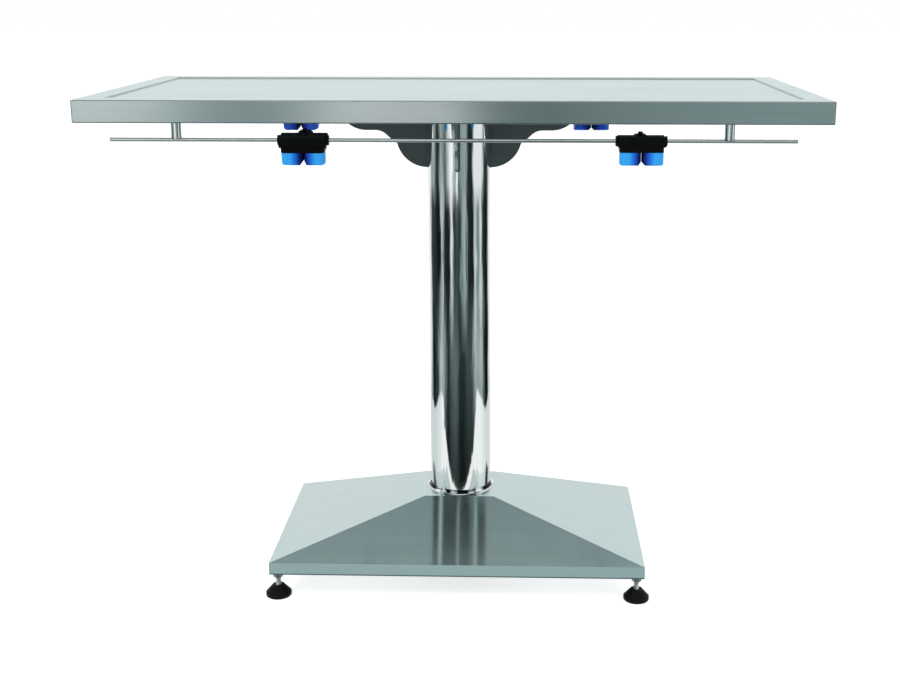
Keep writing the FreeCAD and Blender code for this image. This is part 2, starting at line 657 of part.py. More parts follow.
def make_frame_bolts():
    """Four bolts up into the stiffeners and four down into the base frame."""
    bolts = []
    for x in (-1, 1):
        for y in (-1, 1):
            spot = f"{'a' if x < 0 else 'b'}{'a' if y < 0 else 'b'}"
            bolts.append(make_frame_bolt(f"head_bolt_{spot}", f"{x} * Sizes.mount_bolt_x",
                                         f"{y} * Sizes.stiffener_offset",
                                         "Places.mount_plate_bottom", True))
            bolts.append(make_frame_bolt(f"foot_bolt_{spot}", f"{x} * Sizes.frame_cross_offset",
                                         f"{y} * Sizes.flange_bolt_y",
                                         "Places.column_bottom", False))
    node(group("frame_bolts", bolts), "frame_bolts")


# Levelling feet -------------------------------------------------------------------------------

CORNERS = (("front_left", -1, -1), ("front_right", 1, -1), ("back_left", -1, 1), ("back_right", 1, 1))


def make_foot_pad(where, x, y):
    """Turned pad: bevelled foot, upright side, cone, flat top and a socket for the stud."""
    rim = number("pad_diameter") / 2
    edge = number("pad_edge")
    bore = number("stud_bore")
    floor = number("pad_socket_floor")
    height = number("pad_height")
    outline = [(0, 0), (rim - edge, 0), (rim, edge), (rim, number("pad_side")),
               (number("pad_top_diameter") / 2, height), (bore, height), (bore, floor), (0, floor)]
    body = new_body(f"foot_pad_{where}")
    sketch = new_sketch(body, "XZ_Plane")
    add_loop(sketch, [Vector(r, z, 0) for r, z in outline])
    turn(body, sketch, "V_Axis")
    shift(body, x, y)
    node(body, f"foot_pad_{where}")


def make_feet():
    """Pad, stud and lock nut under each corner of the base frame."""
    nuts = []
    for where, side_x, side_y in CORNERS:
        x = f"{side_x} * Places.foot_x"
        y = f"{side_y} * Places.foot_y"
        make_foot_pad(where, x, y)
        node(cylinder(f"foot_stud_{where}", "Places.stud_radius", "Sizes.stud_top - Places.stud_bottom",
                      x, y, "Places.stud_bottom"), f"foot_stud_{where}")
        blank = hex_head(f"locknut_blank_{where}", "Sizes.locknut_flats", "Sizes.locknut_height")
        bore = cylinder(f"locknut_bore_{where}", "Places.stud_bore", "Sizes.locknut_height")
        nut = cut(f"locknut_{where}", blank, [bore])
        nuts.append(shift(nut, x, y, "Places.locknut_bottom"))
    node(group("foot_locknuts", nuts), "foot_locknuts")


# Tie rails ------------------------------------------------------------------------------------

def make_rails():
    """A rod under each long edge, seated in the coped ends of two posts."""
    for name, side in (("front", -1), ("back", 1)):
        y = f"{side} * Places.rail_y"
        rail = new_body(f"rail_{name}")
        section = new_sketch(rail, "YZ_Plane")
        add_circle(section, "Places.rail_radius")
        pad(rail, section, "Places.rail_length", symmetric=True)
        dress(rail, "Chamfer", "Size", "Sizes.rail_bevel", lambda edge: edge.Closed)
        shift(rail, "0", y, "Places.rail_level")
        node(rail, f"rail_{name}")
        for end, way in (("left", -1), ("right", 1)):
            label = f"rail_post_{name}_{end}"
            bar = cylinder(label + "_bar", "Sizes.post_diameter / 2",
                           "Places.rim_underside - Places.post_bottom",
                           f"{way} * Places.post_offset", y, "Places.post_bottom")
            seat = cylinder(label + "_seat", "Places.rail_radius", "2 * Sizes.post_diameter",
                            f"{way} * Places.post_offset - Sizes.post_diameter", y,
                            "Places.rail_level", axis="X")
            node(cut(label, bar, [seat]), label)


# Rope cleats ----------------------------------------------------------------------------------
# Each cleat is modelled about the point where its own centre plane meets the rail's axis.

def make_sleeve(label):
    """Flanged bush on the rail."""
    half = "Sizes.sleeve_length / 2"
    tube = cylinder(label + "_tube", "Sizes.sleeve_radius", "Sizes.sleeve_length",
                    f"-{half}", axis="X")
    flanges = [cylinder(label + "_flange_a", "Sizes.sleeve_flange_radius",
                        "Sizes.sleeve_flange_thickness", f"-{half}", axis="X"),
               cylinder(label + "_flange_b", "Sizes.sleeve_flange_radius",
                        "Sizes.sleeve_flange_thickness",
                        f"{half} - Sizes.sleeve_flange_thickness", axis="X")]
    bore = cylinder(label + "_bore", "Places.sleeve_bore", "Sizes.sleeve_length", f"-{half}", axis="X")
    return cut(label, fuse(label + "_blank", [tube] + flanges), [bore])


def make_saddle(label):
    """Black block round the sleeve, slit behind so that a screw through two ears clamps it."""
    body = new_body(label)
    section = new_sketch(body, "YZ_Plane")
    add_rectangle(section, "Sizes.saddle_depth", "Sizes.saddle_height")
    pad(body, section, "Places.saddle_length", symmetric=True)
    top = number("saddle_half")

    def upper_edge(edge):
        return near(middle(edge).z, top)

    dress(body, "Fillet", "Radius", "Sizes.saddle_round", upper_edge)
    foot = number("ear_length") / 2
    crest = number("ear_top_length") / 2
    ear_top = number("ear_top")
    slope_foot = ear_top - number("ear_bevel")
    ears = new_sketch(body, "XZ_Plane")
    add_loop(ears, [Vector(-foot, -top, 0), Vector(foot, -top, 0), Vector(foot, slope_foot, 0),
                    Vector(crest, ear_top, 0), Vector(-crest, ear_top, 0), Vector(-foot, slope_foot, 0)])
    pad(body, ears, "Sizes.ear_reach", back=True)
    bore = new_sketch(body, "YZ_Plane")
    add_circle(bore, "Places.saddle_bore")
    pocket(body, bore, "Places.saddle_length", symmetric=True)
    half_slit = number("clamp_slit") / 2
    reach = number("ear_reach") + number("clamp_slit")
    slit = new_sketch(body, "YZ_Plane")
    add_loop(slit, [Vector(0, -half_slit, 0), Vector(reach, -half_slit, 0),
                    Vector(reach, half_slit, 0), Vector(0, half_slit, 0)])
    pocket(body, slit, "Places.saddle_length", symmetric=True)
    lock = new_sketch(body, "XY_Plane", "Places.ear_top")
    add_circle(lock, "Places.lock_bore", "0", "Sizes.lock_offset")
    pocket(body, lock, "Places.ear_top + Places.saddle_half - Sizes.lock_tip_gap + Sizes.seat_gap")
    threads = new_sketch(body, "XY_Plane", "-Places.saddle_half")
    for side in (-1, 1):
        add_circle(threads, "Sizes.cam_screw_radius", f"{side} * Sizes.pivot_offset", "0")
    pocket(body, threads, "Sizes.cam_screw_reach", back=True)
    return body


def make_cleat_base(label):
    """Rounded plate with two hollow posts for the cams."""
    body = new_body(label)
    plate = new_sketch(body, "XY_Plane", "Places.cleat_base_bottom")
    add_rectangle(plate, "Sizes.cleat_base_length", "Sizes.cleat_base_depth")
    pad(body, plate, "Sizes.cleat_base_height")
    half = number("cleat_base_length") / 2

    def upright(edge):
        spot = middle(edge)
        return near(abs(spot.x), half) and not near(spot.y, 0)

    dress(body, "Fillet", "Radius", "Sizes.cleat_base_round", upright)
    posts = new_sketch(body, "XY_Plane", "Places.pivot_bottom")
    for side in (-1, 1):
        add_circle(posts, "Sizes.pivot_radius", f"{side} * Sizes.pivot_offset", "0")
    pad(body, posts, "Places.cleat_base_bottom - Places.pivot_bottom")
    bores = new_sketch(body, "XY_Plane", "Places.pivot_bottom")
    for side in (-1, 1):
        add_circle(bores, "Sizes.cam_screw_radius", f"{side} * Sizes.pivot_offset", "0")
    pocket(body, bores, "-Places.saddle_half - Places.pivot_bottom", back=True)
    return body


TOOTH_CREST = 0.35  # share of a tooth's width before its crest


def spiral_point(angle, inward):
    """Point of the cam's face about its pivot; the radius grows towards the user's side."""
    radius = number("cam_face_radius") * math.exp(-number("cam_growth_rate") * angle) - inward
    return Vector(radius * math.cos(angle), radius * math.sin(angle), 0)


def cam_outline(side):
    """Toothed spiral face, flat front with a round corner, round back; side is -1 for the left cam."""
    teeth = int(number("cam_teeth"))
    start = math.radians(number("cam_face_inner_angle"))
    step = (start + math.radians(number("cam_face_outer_angle"))) / teeth
    depth = number("cam_tooth_depth")
    face = [spiral_point(start, depth)]
    for tooth in range(teeth):
        face.append(spiral_point(start - (tooth + TOOTH_CREST) * step, 0))
        face.append(spiral_point(start - (tooth + 1) * step, depth))
    radius = number("cam_back_radius")
    corner = number("cam_corner_radius")
    corner_arc, _ = arc_about(Vector(corner - radius, face[-1].y + corner, 0), corner, 270, 180)
    back_arc, _ = arc_about(Vector(), radius, 180, number("cam_back_angle"))

    def mirrored(point):
        return Vector(-side * point.x, point.y, 0)

    def line(one, two):
        return Part.LineSegment(mirrored(one), mirrored(two))

    def arc(points):
        return Part.Arc(*[mirrored(point) for point in points])

    front = face + [corner_arc[0]]
    return ([line(one, two) for one, two in zip(front, front[1:])]
            + [arc(corner_arc), line(corner_arc[-1], back_arc[0]), arc(back_arc),
               line(back_arc[-1], face[0])])


def make_cam(label, side):
    """Toothed cam with bore, screw recess, spring pocket and the bevelled rope mouth."""
    body = new_body(label)
    outline = new_sketch(body, "XY_Plane", "Places.cam_bottom")
    add_path(outline, cam_outline(side))
    pad(body, outline, "Sizes.cam_height")
    bottom = number("cam_bottom")
    longest_tooth = 2 * number("cam_face_radius") / number("cam_teeth")

    def back_edge(edge):
        return near(middle(edge).z, bottom) and edge.Length > longest_tooth

    dress(body, "Fillet", "Radius", "Sizes.cam_edge", back_edge)
    bore = new_sketch(body, "XY_Plane", "Places.cam_bottom")
    add_circle(bore, "Places.pivot_bore")
    pocket(body, bore, "Sizes.cam_height", back=True)
    recess = new_sketch(body, "XY_Plane", "Places.cam_bottom")
    add_circle(recess, "Sizes.cam_recess_radius")
    pocket(body, recess, "Sizes.cam_recess_depth", back=True)
    spring = new_sketch(body, "XY_Plane", "Places.cam_top")
    add_circle(spring, "Sizes.spring_pocket_radius")
    pocket(body, spring, "Sizes.spring_pocket_depth")
    inner = number("cam_face_radius")
    reach = inner * math.exp(number("cam_growth_rate") * math.radians(number("cam_face_outer_angle")))
    mouth = inner - number("cam_mouth_width")
    slope = number("cam_mouth_height") / number("cam_mouth_width")
    corners = [Vector(mouth, bottom, 0), Vector(reach, bottom, 0),
               Vector(reach, bottom + slope * (reach - mouth), 0)]
    wedge = new_sketch(body, "XZ_Plane")
    add_loop(wedge, [Vector(-side * point.x, point.y, 0) for point in corners])
    pocket(body, wedge, "4 * Sizes.cam_back_radius", symmetric=True)
    return body


def make_cam_screws(label):
    """Two pan-head screws through the posts, up into the saddle."""
    screws = []
    for side, name in ((-1, "left"), (1, "right")):
        x = f"{side} * Sizes.pivot_offset"
        head = cylinder(f"{label}_{name}_head", "Sizes.cam_screw_head_radius", "Sizes.cam_screw_head_height",
                        x, "0", "Places.pivot_bottom - Sizes.cam_screw_head_height")
        thread = cylinder(f"{label}_{name}_thread", "Sizes.cam_screw_radius",
                          "Places.cam_screw_top - Places.pivot_bottom", x, "0", "Places.pivot_bottom")
        screws.append(fuse(f"{label}_{name}", [head, thread]))
    return group(label, screws)


def make_cam_springs(label):
    """Torsion springs round the posts, hung from the base plate in the cams' pockets."""
    springs = []
    for side, name in ((-1, "left"), (1, "right")):
        helix = bind(doc.addObject("Part::Helix", f"{label}_{name}_path"), Pitch="Sizes.spring_pitch",
                     Height="Sizes.spring_turns * Sizes.spring_pitch", Radius="Sizes.spring_radius")
        section = bind(doc.addObject("Part::RegularPolygon", f"{label}_{name}_section"),
                       Circumradius="Sizes.spring_wire / 2")
        section.Polygon = 6
        section.Placement = Placement(Vector(), Rotation(Vector(1, 0, 0), 90))
        shift(section, "Sizes.spring_radius")
        sweep = doc.addObject("Part::Sweep", f"{label}_{name}")
        sweep.Sections = [section]
        sweep.Spine = (helix, ["Edge1"])
        sweep.Solid = True
        sweep.Frenet = True
        shift(sweep, f"{side} * Sizes.pivot_offset", "0",
              "Places.cleat_base_bottom - Sizes.spring_wire / 2 - Sizes.spring_turns * Sizes.spring_pitch")
        springs.append(sweep)
    return group(label, springs)


def make_lock_screw(label):
    """Round-headed clamp screw, through the upper ear and into the lower one."""
    head = cylinder(label + "_head", "Sizes.lock_head_radius", "Sizes.lock_head_height",
                    y="Sizes.lock_offset", z="Places.ear_top + Sizes.seat_gap")
    doc.recompute()
    crest = head.Shape.BoundBox.ZMax
    domed = doc.addObject("Part::Fillet", label + "_dome")
    domed.Base = head
    radius = number("lock_head_round")
    domed.Edges = [(n, radius, radius) for n, edge in enumerate(head.Shape.Edges, start=1)
                   if edge.Closed and near(edge.CenterOfMass.z, crest)]
    shank = cylinder(label + "_shank", "Sizes.lock_shank_radius",
                     "Places.ear_top + Sizes.seat_gap + Places.saddle_half - Sizes.lock_tip_gap",
                     y="Sizes.lock_offset", z="Sizes.lock_tip_gap - Places.saddle_half")
    return fuse(label, [domed, shank])


def make_cleat(where, station, turned, lean):
    """All pieces of one cleat; turned puts its rope mouth towards the back of the table."""
    pieces = {"sleeve": make_sleeve, "saddle": make_saddle, "cleat_base": make_cleat_base,
              "cam_screws": make_cam_screws, "cam_springs": make_cam_springs,
              "lock_screw": make_lock_screw}
    side = "" if turned else "-"
    about_rail = Rotation(Vector(0, 0, 1), 180 if turned else 0) * Rotation(Vector(1, 0, 0), lean)
    for name, make in pieces.items():
        item = make(f"{where}_{name}")
        item.Placement = Placement(Vector(), about_rail)
        shift(item, station, f"{side}Places.rail_y", "Places.rail_level")
        node(item, f"{where}_{name}")
    for name, way in (("cam_left", -1), ("cam_right", 1)):
        item = make_cam(f"{where}_{name}", way)
        pivot = about_rail.multVec(Vector(way, 0, 0))
        item.Placement = Placement(Vector(), about_rail)
        shift(item, f"{station} + {round(pivot.x)} * Sizes.pivot_offset",
              f"{side}Places.rail_y", "Places.rail_level")
        node(item, f"{where}_{name}")


# The whole table ------------------------------------------------------------------------------

make_table_top()
make_top_stiffeners()
make_plate("mount_plate", "Sizes.mount_plate_side", "Sizes.mount_plate_side",
           "Sizes.mount_plate_thickness", "Sizes.mount_bolt_x", "Sizes.stiffener_offset",
           "Places.mount_plate_bottom")
make_column_tube()
make_gussets()
make_column_collar()
make_base_cover()
make_base_frame()
make_plate("column_flange", "Sizes.flange_length", "Sizes.flange_width", "Sizes.flange_thickness",
           "Sizes.frame_cross_offset", "Sizes.flange_bolt_y", "Places.frame_top")
make_frame_bolts()
make_feet()
make_rails()
for corner, _, side in CORNERS:
    make_cleat(corner, f"Sizes.{corner}_station", side > 0, number(f"{corner}_lean_angle"))
doc.recompute()

faults = [item.Name for item in doc.Objects if "Invalid" in item.State or "Error" in item.State]
faults += [item.Label for item in nodes if item.Shape.isNull() or not item.Shape.isValid()]
if faults:
    raise RuntimeError("failed objects: " + ", ".join(faults))
os.makedirs("parts", exist_ok=True)
for item in nodes:
    item.Shape.exportStep(f"parts/{item.Label}.step")
    solids = len(item.Shape.Solids)
    print(f"{item.Label}: {solids} solid(s), {item.Shape.Volume / 1000:.2f} cm3")
print(f"{len(nodes)} nodes")
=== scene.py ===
# %% [markdown]
# # A pedestal examination table for a veterinary clinic
# The table is a folded stainless top on a polished column, with a hollow pyramid base, four
# levelling feet and two tie rails that carry sliding rope cleats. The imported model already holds
# every solid in metres, so this lesson dresses it: a camera, a small studio, finishes made of
# nodes, and the fine hardware that is easier to shape here than in CAD.

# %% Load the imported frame
import math

import bpy
from mathutils import Matrix, Vector


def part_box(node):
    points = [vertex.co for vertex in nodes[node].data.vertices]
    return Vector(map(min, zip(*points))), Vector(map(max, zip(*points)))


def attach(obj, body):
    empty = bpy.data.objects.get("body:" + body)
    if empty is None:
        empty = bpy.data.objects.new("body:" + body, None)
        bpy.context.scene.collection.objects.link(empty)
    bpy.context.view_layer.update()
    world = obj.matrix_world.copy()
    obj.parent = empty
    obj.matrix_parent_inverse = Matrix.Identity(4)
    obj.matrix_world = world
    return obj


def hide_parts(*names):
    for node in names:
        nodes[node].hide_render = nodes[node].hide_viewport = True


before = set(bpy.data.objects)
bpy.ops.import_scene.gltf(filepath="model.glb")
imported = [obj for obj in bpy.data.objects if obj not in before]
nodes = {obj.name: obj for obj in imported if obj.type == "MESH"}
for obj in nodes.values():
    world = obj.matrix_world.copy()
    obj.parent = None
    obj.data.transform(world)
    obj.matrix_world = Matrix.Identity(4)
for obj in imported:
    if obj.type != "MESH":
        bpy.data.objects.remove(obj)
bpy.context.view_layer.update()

CORNERS = ("front_left", "front_right", "back_left", "back_right")

# %% [markdown]
# ## Camera
# A long table is easy to distort, so the camera stands well back and slightly to the right of the
# column, a little above the top, and looks down. Its direction is written as two turns, yaw and
# pitch, because those are what one sets on a tripod head. The small shift slides the frame without
# turning the camera, so the perspective stays as it is.

# %% Camera
STANDPOINT = Vector((0.11227, -2.32839, 1.09257))
YAW = math.radians(-1.586)
PITCH = math.radians(14.663)
LENS_MM = 51.19
FILM_MM = 36
SHIFT = (-0.0393, -0.02)

look = Vector((math.sin(YAW) * math.cos(PITCH), math.cos(YAW) * math.cos(PITCH),
               -math.sin(PITCH)))
camera_data = bpy.data.cameras.new("camera")
camera_data.lens = LENS_MM
camera_data.sensor_width = FILM_MM
camera_data.shift_x, camera_data.shift_y = SHIFT
camera = bpy.data.objects.new("camera", camera_data)
camera.location = STANDPOINT
camera.rotation_euler = look.to_track_quat("-Z", "Y").to_euler()
bpy.context.scene.collection.objects.link(camera)
bpy.context.scene.camera = camera
bpy.context.scene.view_settings.view_transform = "Standard"
print("camera looks along", [round(value, 3) for value in look])

# %% [markdown]
# ## Helpers for node trees
# Materials, the background and Geometry Nodes are all trees: nodes whose inputs hold a plain value
# or a link. Written out in full, each node takes four or five lines, and the idea is lost among
# them. So one helper makes a node with its settings and feeds its inputs, and the others on top of
# it return a socket, so that they nest like a formula.

# %% Helpers that make a node


def feed(tree, socket, value):
    """Gives an input a number, a colour of three numbers, or a link from an output."""
    if isinstance(value, bpy.types.NodeSocket):
        tree.links.new(value, socket)
    else:
        socket.default_value = (*value, 1) if socket.type == "RGBA" else value


def add_node(tree, kind, inputs=None, **settings):
    """A new node with its settings made first and its inputs fed by title or by number."""
    made = tree.nodes.new(kind)
    for title, value in settings.items():
        setattr(made, title, value)
    for title, value in (inputs or {}).items():
        feed(tree, made.inputs[title], value)
    return made


# %% Helpers that nest like a formula


def math_node(tree, operation, one, two=None):
    """A Math node over sockets or numbers."""
    inputs = {0: one} if two is None else {0: one, 1: two}
    return add_node(tree, "ShaderNodeMath", inputs, operation=operation).outputs[0]


def average(tree, one, two):
    """Half of the sum of two values."""
    return math_node(tree, "MULTIPLY", math_node(tree, "ADD", one, two), 0.5)


def remap(tree, value, low, high, start=0.0, end=1.0):
    """Turns start..end into low..high, and holds what lies outside."""
    return add_node(tree, "ShaderNodeMapRange", {
        "Value": value, "From Min": start, "From Max": end, "To Min": low,
        "To Max": high}).outputs[0]


def split_axes(tree, vector):
    """The sockets X, Y and Z of a vector."""
    return add_node(tree, "ShaderNodeSeparateXYZ", {0: vector}).outputs


def join_axes(tree, x=0.0, y=0.0, z=0.0):
    """One vector out of three sockets or numbers."""
    return add_node(tree, "ShaderNodeCombineXYZ", {0: x, 1: y, 2: z}).outputs[0]


def mix_colours(tree, share, one, two):
    """Blends two colours: share 0 is the first and 1 the second."""
    return add_node(tree, "ShaderNodeMix", {"Factor": share, "A": one, "B": two},
                    data_type="RGBA").outputs["Result"]


def mix_shaders(tree, share, one, two):
    """Blends two shaders in the same way."""
    return add_node(tree, "ShaderNodeMixShader", {0: share, 1: one, 2: two}).outputs[0]


def glow(tree, colour, strength=1.0):
    """A surface that only gives off light."""
    return add_node(tree, "ShaderNodeEmission", {"Color": colour, "Strength": strength}).outputs[0]


def object_position(tree):
    """A point's place in the table's frame in metres, as every piece sits at the origin."""
    return add_node(tree, "ShaderNodeTexCoord").outputs["Object"]


def surface_normal(tree):
    """Which way the surface faces."""
    return add_node(tree, "ShaderNodeNewGeometry").outputs["Normal"]


# %% [markdown]
# ## Studio: world and floor
# Polished steel shows its surroundings more than itself, so the room is planned first. The world
# gives an even soft light, and rays that come from the camera or from a reflection find plain
# white. The floor does the same and still keeps the table's soft shadow.

# %% World
SOFT_LEVEL = 0.62      # how strongly the room lights matt surfaces
SOFT_COLOUR = (0.97, 0.99, 1.0)
WHITE = (1, 1, 1)


def seen_directly(tree):
    """1 for rays from the camera, from a reflection or through glass, else 0."""
    path = add_node(tree, "ShaderNodeLightPath").outputs
    total = math_node(tree, "ADD", path["Is Camera Ray"], path["Is Glossy Ray"])
    total = math_node(tree, "ADD", total, path["Is Transmission Ray"])
    return math_node(tree, "MINIMUM", total, 1.0)


world = bpy.data.worlds.new("studio")
bpy.context.scene.world = world
world.use_nodes = True
tree = world.node_tree
tree.nodes.clear()
soft, white = (
    add_node(tree, "ShaderNodeBackground", {"Color": colour, "Strength": strength}).outputs[0]
    for colour, strength in ((SOFT_COLOUR, SOFT_LEVEL), (WHITE, 1.0)))
add_node(tree, "ShaderNodeOutputWorld", {
    "Surface": mix_shaders(tree, seen_directly(tree), soft, white)})
print("world:", len(tree.nodes), "nodes")

# %% Floor
FLOOR_GREY = (0.82, 0.82, 0.82)
FLOOR_LIFT = 0.70      # white added to the floor for the camera and for reflections
FLOOR_SIDE = 60


def stage_material(name, make_shader):
    """A material for the stage; make_shader builds its shader in the empty tree."""
    made = bpy.data.materials.new(name)
    made.use_nodes = True
    tree = made.node_tree
    tree.nodes.clear()
    add_node(tree, "ShaderNodeOutputMaterial", {"Surface": make_shader(tree)})
    return made


def stage_board(name, points, faces):
    """A board of the stage, which isn't part of the table."""
    mesh = bpy.data.meshes.new(name)
    mesh.from_pydata(points, [], faces)
    board = bpy.data.objects.new(name, mesh)
    bpy.context.scene.collection.objects.link(board)
    print(name, "faces:", len(faces))
    return board


def level_board(name, width, depth, centre):
    """A level rectangle for the stage."""
    x, y, z = centre
    across, along = width / 2, depth / 2
    return stage_board(name, [(x - across, y - along, z), (x + across, y - along, z),
                              (x + across, y + along, z), (x - across, y + along, z)],
                       [(0, 1, 2, 3)])


def floor_shader(tree):
    """Matt grey that takes the shadow, lifted to white where it is seen directly."""
    matt = add_node(tree, "ShaderNodeBsdfDiffuse", {"Color": FLOOR_GREY}).outputs[0]
    lift = glow(tree, WHITE, math_node(tree, "MULTIPLY", seen_directly(tree), FLOOR_LIFT))
    return add_node(tree, "ShaderNodeAddShader", {0: matt, 1: lift}).outputs[0]


floor = level_board("floor", FLOOR_SIDE, FLOOR_SIDE, (0, 0, 0))
floor.data.materials.append(stage_material("floor_white", floor_shader))

# %% [markdown]
# ## Studio: lamps
# Three large soft boxes, one high on the left as the key, one on the right as fill and one behind.
# They light the matt surfaces and draw the soft shadows. Reflections don't see them, because a lamp
# mirrored in a bright sheet would burn a patch into it; the steel gets its own room below.

# %% Lamps


def soft_box(name, place, target, size, power):
    """A rectangular area lamp aimed at a point; power is in watts."""
    data = bpy.data.lights.new(name, "AREA")
    data.shape = "RECTANGLE"
    data.size, data.size_y = size
    data.energy = power
    lamp = bpy.data.objects.new(name, data)
    lamp.location = place
    lamp.rotation_euler = (Vector(target) - Vector(place)).to_track_quat("-Z", "Y").to_euler()
    lamp.visible_glossy = False
    bpy.context.scene.collection.objects.link(lamp)
    print(name, "lamp:", power, "W")


soft_box("key", (-2.6, -2.2, 3.2), (0, 0, 0.6), (1.8, 1.8), 55)
soft_box("fill", (2.8, -1.8, 2.4), (0, 0, 0.6), (1.6, 1.6), 22)
soft_box("back", (0.4, 3.0, 2.8), (0, 0, 0.8), (2.4, 1.2), 30)

# %% [markdown]
# ## Studio: tones for the reflections
# A polished tube in a white room would vanish, and brushed sheet would look like grey paint. Real
# steel is drawn by what stands round it: a white sheet under the table, a dark studio floor beyond
# it, and bright and black boards. Painting each board by hand would take dozens of them. Here the
# tone depends only on the direction round the column and, in three steps, on the distance from it,
# so that it mirrors as calm upright stripes. Each table below is a colour ramp bent into a circle.

# %% Tones of the reflected room
WALL_TONES = (     # degrees round the column, 0 in front and positive to the right, and a tone
    (-180, 0.95), (-134, 0.95), (-118, 0.30), (-105, 0.50), (-92, 0.05), (-80, 0.02), (-66, 0.50),
    (-50, 0.06), (-36, 0.85), (-24, 1.12), (-19.5, 1.00), (-16.5, 0.50), (-13, 0.46), (-10.5, 0.90),
    (-9, 1.18), (-2.9, 1.18), (-1.6, 0.44), (-0.3, 0.22), (5, 0.29), (12, 0.33), (24, 0.39),
    (34, 0.03), (50, 0.02), (60, 0.90), (92, 0.90), (102, 0.05), (124, 0.02), (141, 0.95),
    (180, 0.95))
FAR_TONES = (
    (-180, 0.95), (-134, 0.95), (-120, 0.06), (-80, 0.006), (-73, 0.05), (-64, 0.70), (-55, 0.03),
    (-37, 0.01), (-28, 0.90), (-20, 0.10), (-14, 0.03), (-6, 0.08), (4, 0.04), (10, 0.32),
    (24, 0.50), (33, 0.03), (52, 0.01), (61, 0.75), (68, 0.30), (80, 0.25), (89, 0.85),
    (100, 0.05), (108, 0.005), (124, 0.02), (141, 0.95), (180, 0.95))
NEAR_TONES = (
    (-180, 0.95), (-138, 0.95), (-128, 0.40), (-120, 0.03), (-111, 0.006), (-100, 0.045),
    (-88, 0.06), (-73, 0.62), (-58, 0.30), (-47, 0.035), (-40, 0.025), (-29, 0.13), (-18, 0.17),
    (-8, 0.13), (0, 0.035), (16, 0.03), (30, 0.08), (47, 0.08), (60, 0.55), (70, 0.40),
    (90, 0.52), (99, 0.30), (110, 0.015), (128, 0.003), (143, 0.90), (180, 0.95))
SHEET_TONES = (     # the white sheet itself, a little greyer towards the sides and the back
    (-180, 0.80), (-125, 0.73), (-110, 0.74), (-98, 0.79), (-87, 0.82), (-77, 0.90), (-68, 1.00),
    (83, 1.00), (93, 0.92), (105, 0.86), (117, 0.78), (140, 0.78), (180, 0.80))
NEAR_TO_FAR = (1.5, 2.6)      # metres from the column over which one table turns into the next
FAR_TO_WALL = (4.2, 5.0)
SHADE_FADES = (0.5, 1.4)      # metres over which the table's own shade on the floor fades
SHADE_LEVEL = 0.25            # tone left in the darkest part of that shade

# %% Materials of the reflected room


def tone_ramp(tree, position, tones):
    """A colour ramp over the directions; dark tones are greener."""
    ramp = add_node(tree, "ShaderNodeValToRGB", {"Fac": position})
    stops = ramp.color_ramp.elements
    for degrees, tone in tones:
        ends = {-180: stops[0], 180: stops[-1]}
        stop = ends[degrees] if degrees in ends else stops.new((degrees + 180) / 360)
        stop.color = (tone * (0.68 + 0.32 * tone), tone, tone, 1)
    return ramp.outputs["Color"]


def direction_round_column(tree):
    """Position as a direction, 0 to 1 round the column with 0.5 in front, and a distance."""
    x, y, z = split_axes(tree, object_position(tree))
    turn = math_node(tree, "ARCTAN2", x, math_node(tree, "MULTIPLY", y, -1.0))
    distance = math_node(tree, "SQRT", math_node(
        tree, "ADD", math_node(tree, "POWER", x, 2.0), math_node(tree, "POWER", y, 2.0)))
    return math_node(tree, "ADD", math_node(tree, "DIVIDE", turn, 2 * math.pi), 0.5), distance


def room_shader(tree):
    """Near, far and wall tones by distance, shaded next to the table."""
    direction, distance = direction_round_column(tree)
    tones = tone_ramp(tree, direction, NEAR_TONES)
    for (start, end), table in ((NEAR_TO_FAR, FAR_TONES), (FAR_TO_WALL, WALL_TONES)):
        tones = mix_colours(tree, remap(tree, distance, 0.0, 1.0, start, end), tones,
                            tone_ramp(tree, direction, table))
    return glow(tree, tones, remap(tree, distance, SHADE_LEVEL, 1.0, *SHADE_FADES))


def sheet_shader(tree):
    """The white sheet's tones."""
    return glow(tree, tone_ramp(tree, direction_round_column(tree)[0], SHEET_TONES))


room_tones = stage_material("room_tones", room_shader)
sheet_tones = stage_material("sheet_tones", sheet_shader)
print("tones:", len(WALL_TONES), len(FAR_TONES), len(NEAR_TONES), len(SHEET_TONES))

# %% [markdown]
# ## Studio: boards for the reflections
# The tones need something to sit on. A white sheet lies under the table, a dark floor card starts
# at its edge, a low wall stands in front and a black flag above that. Each is a strip between two
# edges that run round the column, and a greyer strip on the sheet stands for the shade in front of
# the base. Only reflections see them: they light nothing, shade nothing and never show to the
# camera.

# %% Helpers for boards


def grey_card(name, level, from_below=False):
    """A glow of one even grey. from_below leaves a level board clear for rays from above."""
    def shader(tree):
        shown = glow(tree, (level * 0.85, level, level))
        if from_below:
            clear = add_node(tree, "ShaderNodeBsdfTransparent").outputs[0]
            side = add_node(tree, "ShaderNodeNewGeometry").outputs["Backfacing"]
            shown = mix_shaders(tree, side, clear, shown)
        return shown
    return stage_material(name, shader)


def only_in_reflections(board, material):
    """Hides a stage board from every ray but glossy ones."""
    board.visible_camera = False
    board.visible_diffuse = False
    board.visible_shadow = False
    board.visible_transmission = False
    board.data.materials.append(material)


def band(name, inner, outer, directions, material):
    """A strip between two edges, each a function from direction to (radius, height)."""
    points = []
    for degrees in directions:
        turn = math.radians(degrees)
        for radius, height in (inner(turn), outer(turn)):
            points.append((radius * math.sin(turn), -radius * math.cos(turn), height))
    faces = [(n, n + 1, n + 3, n + 2) for n in range(0, len(points) - 2, 2)]
    only_in_reflections(stage_board(name, points, faces), material)


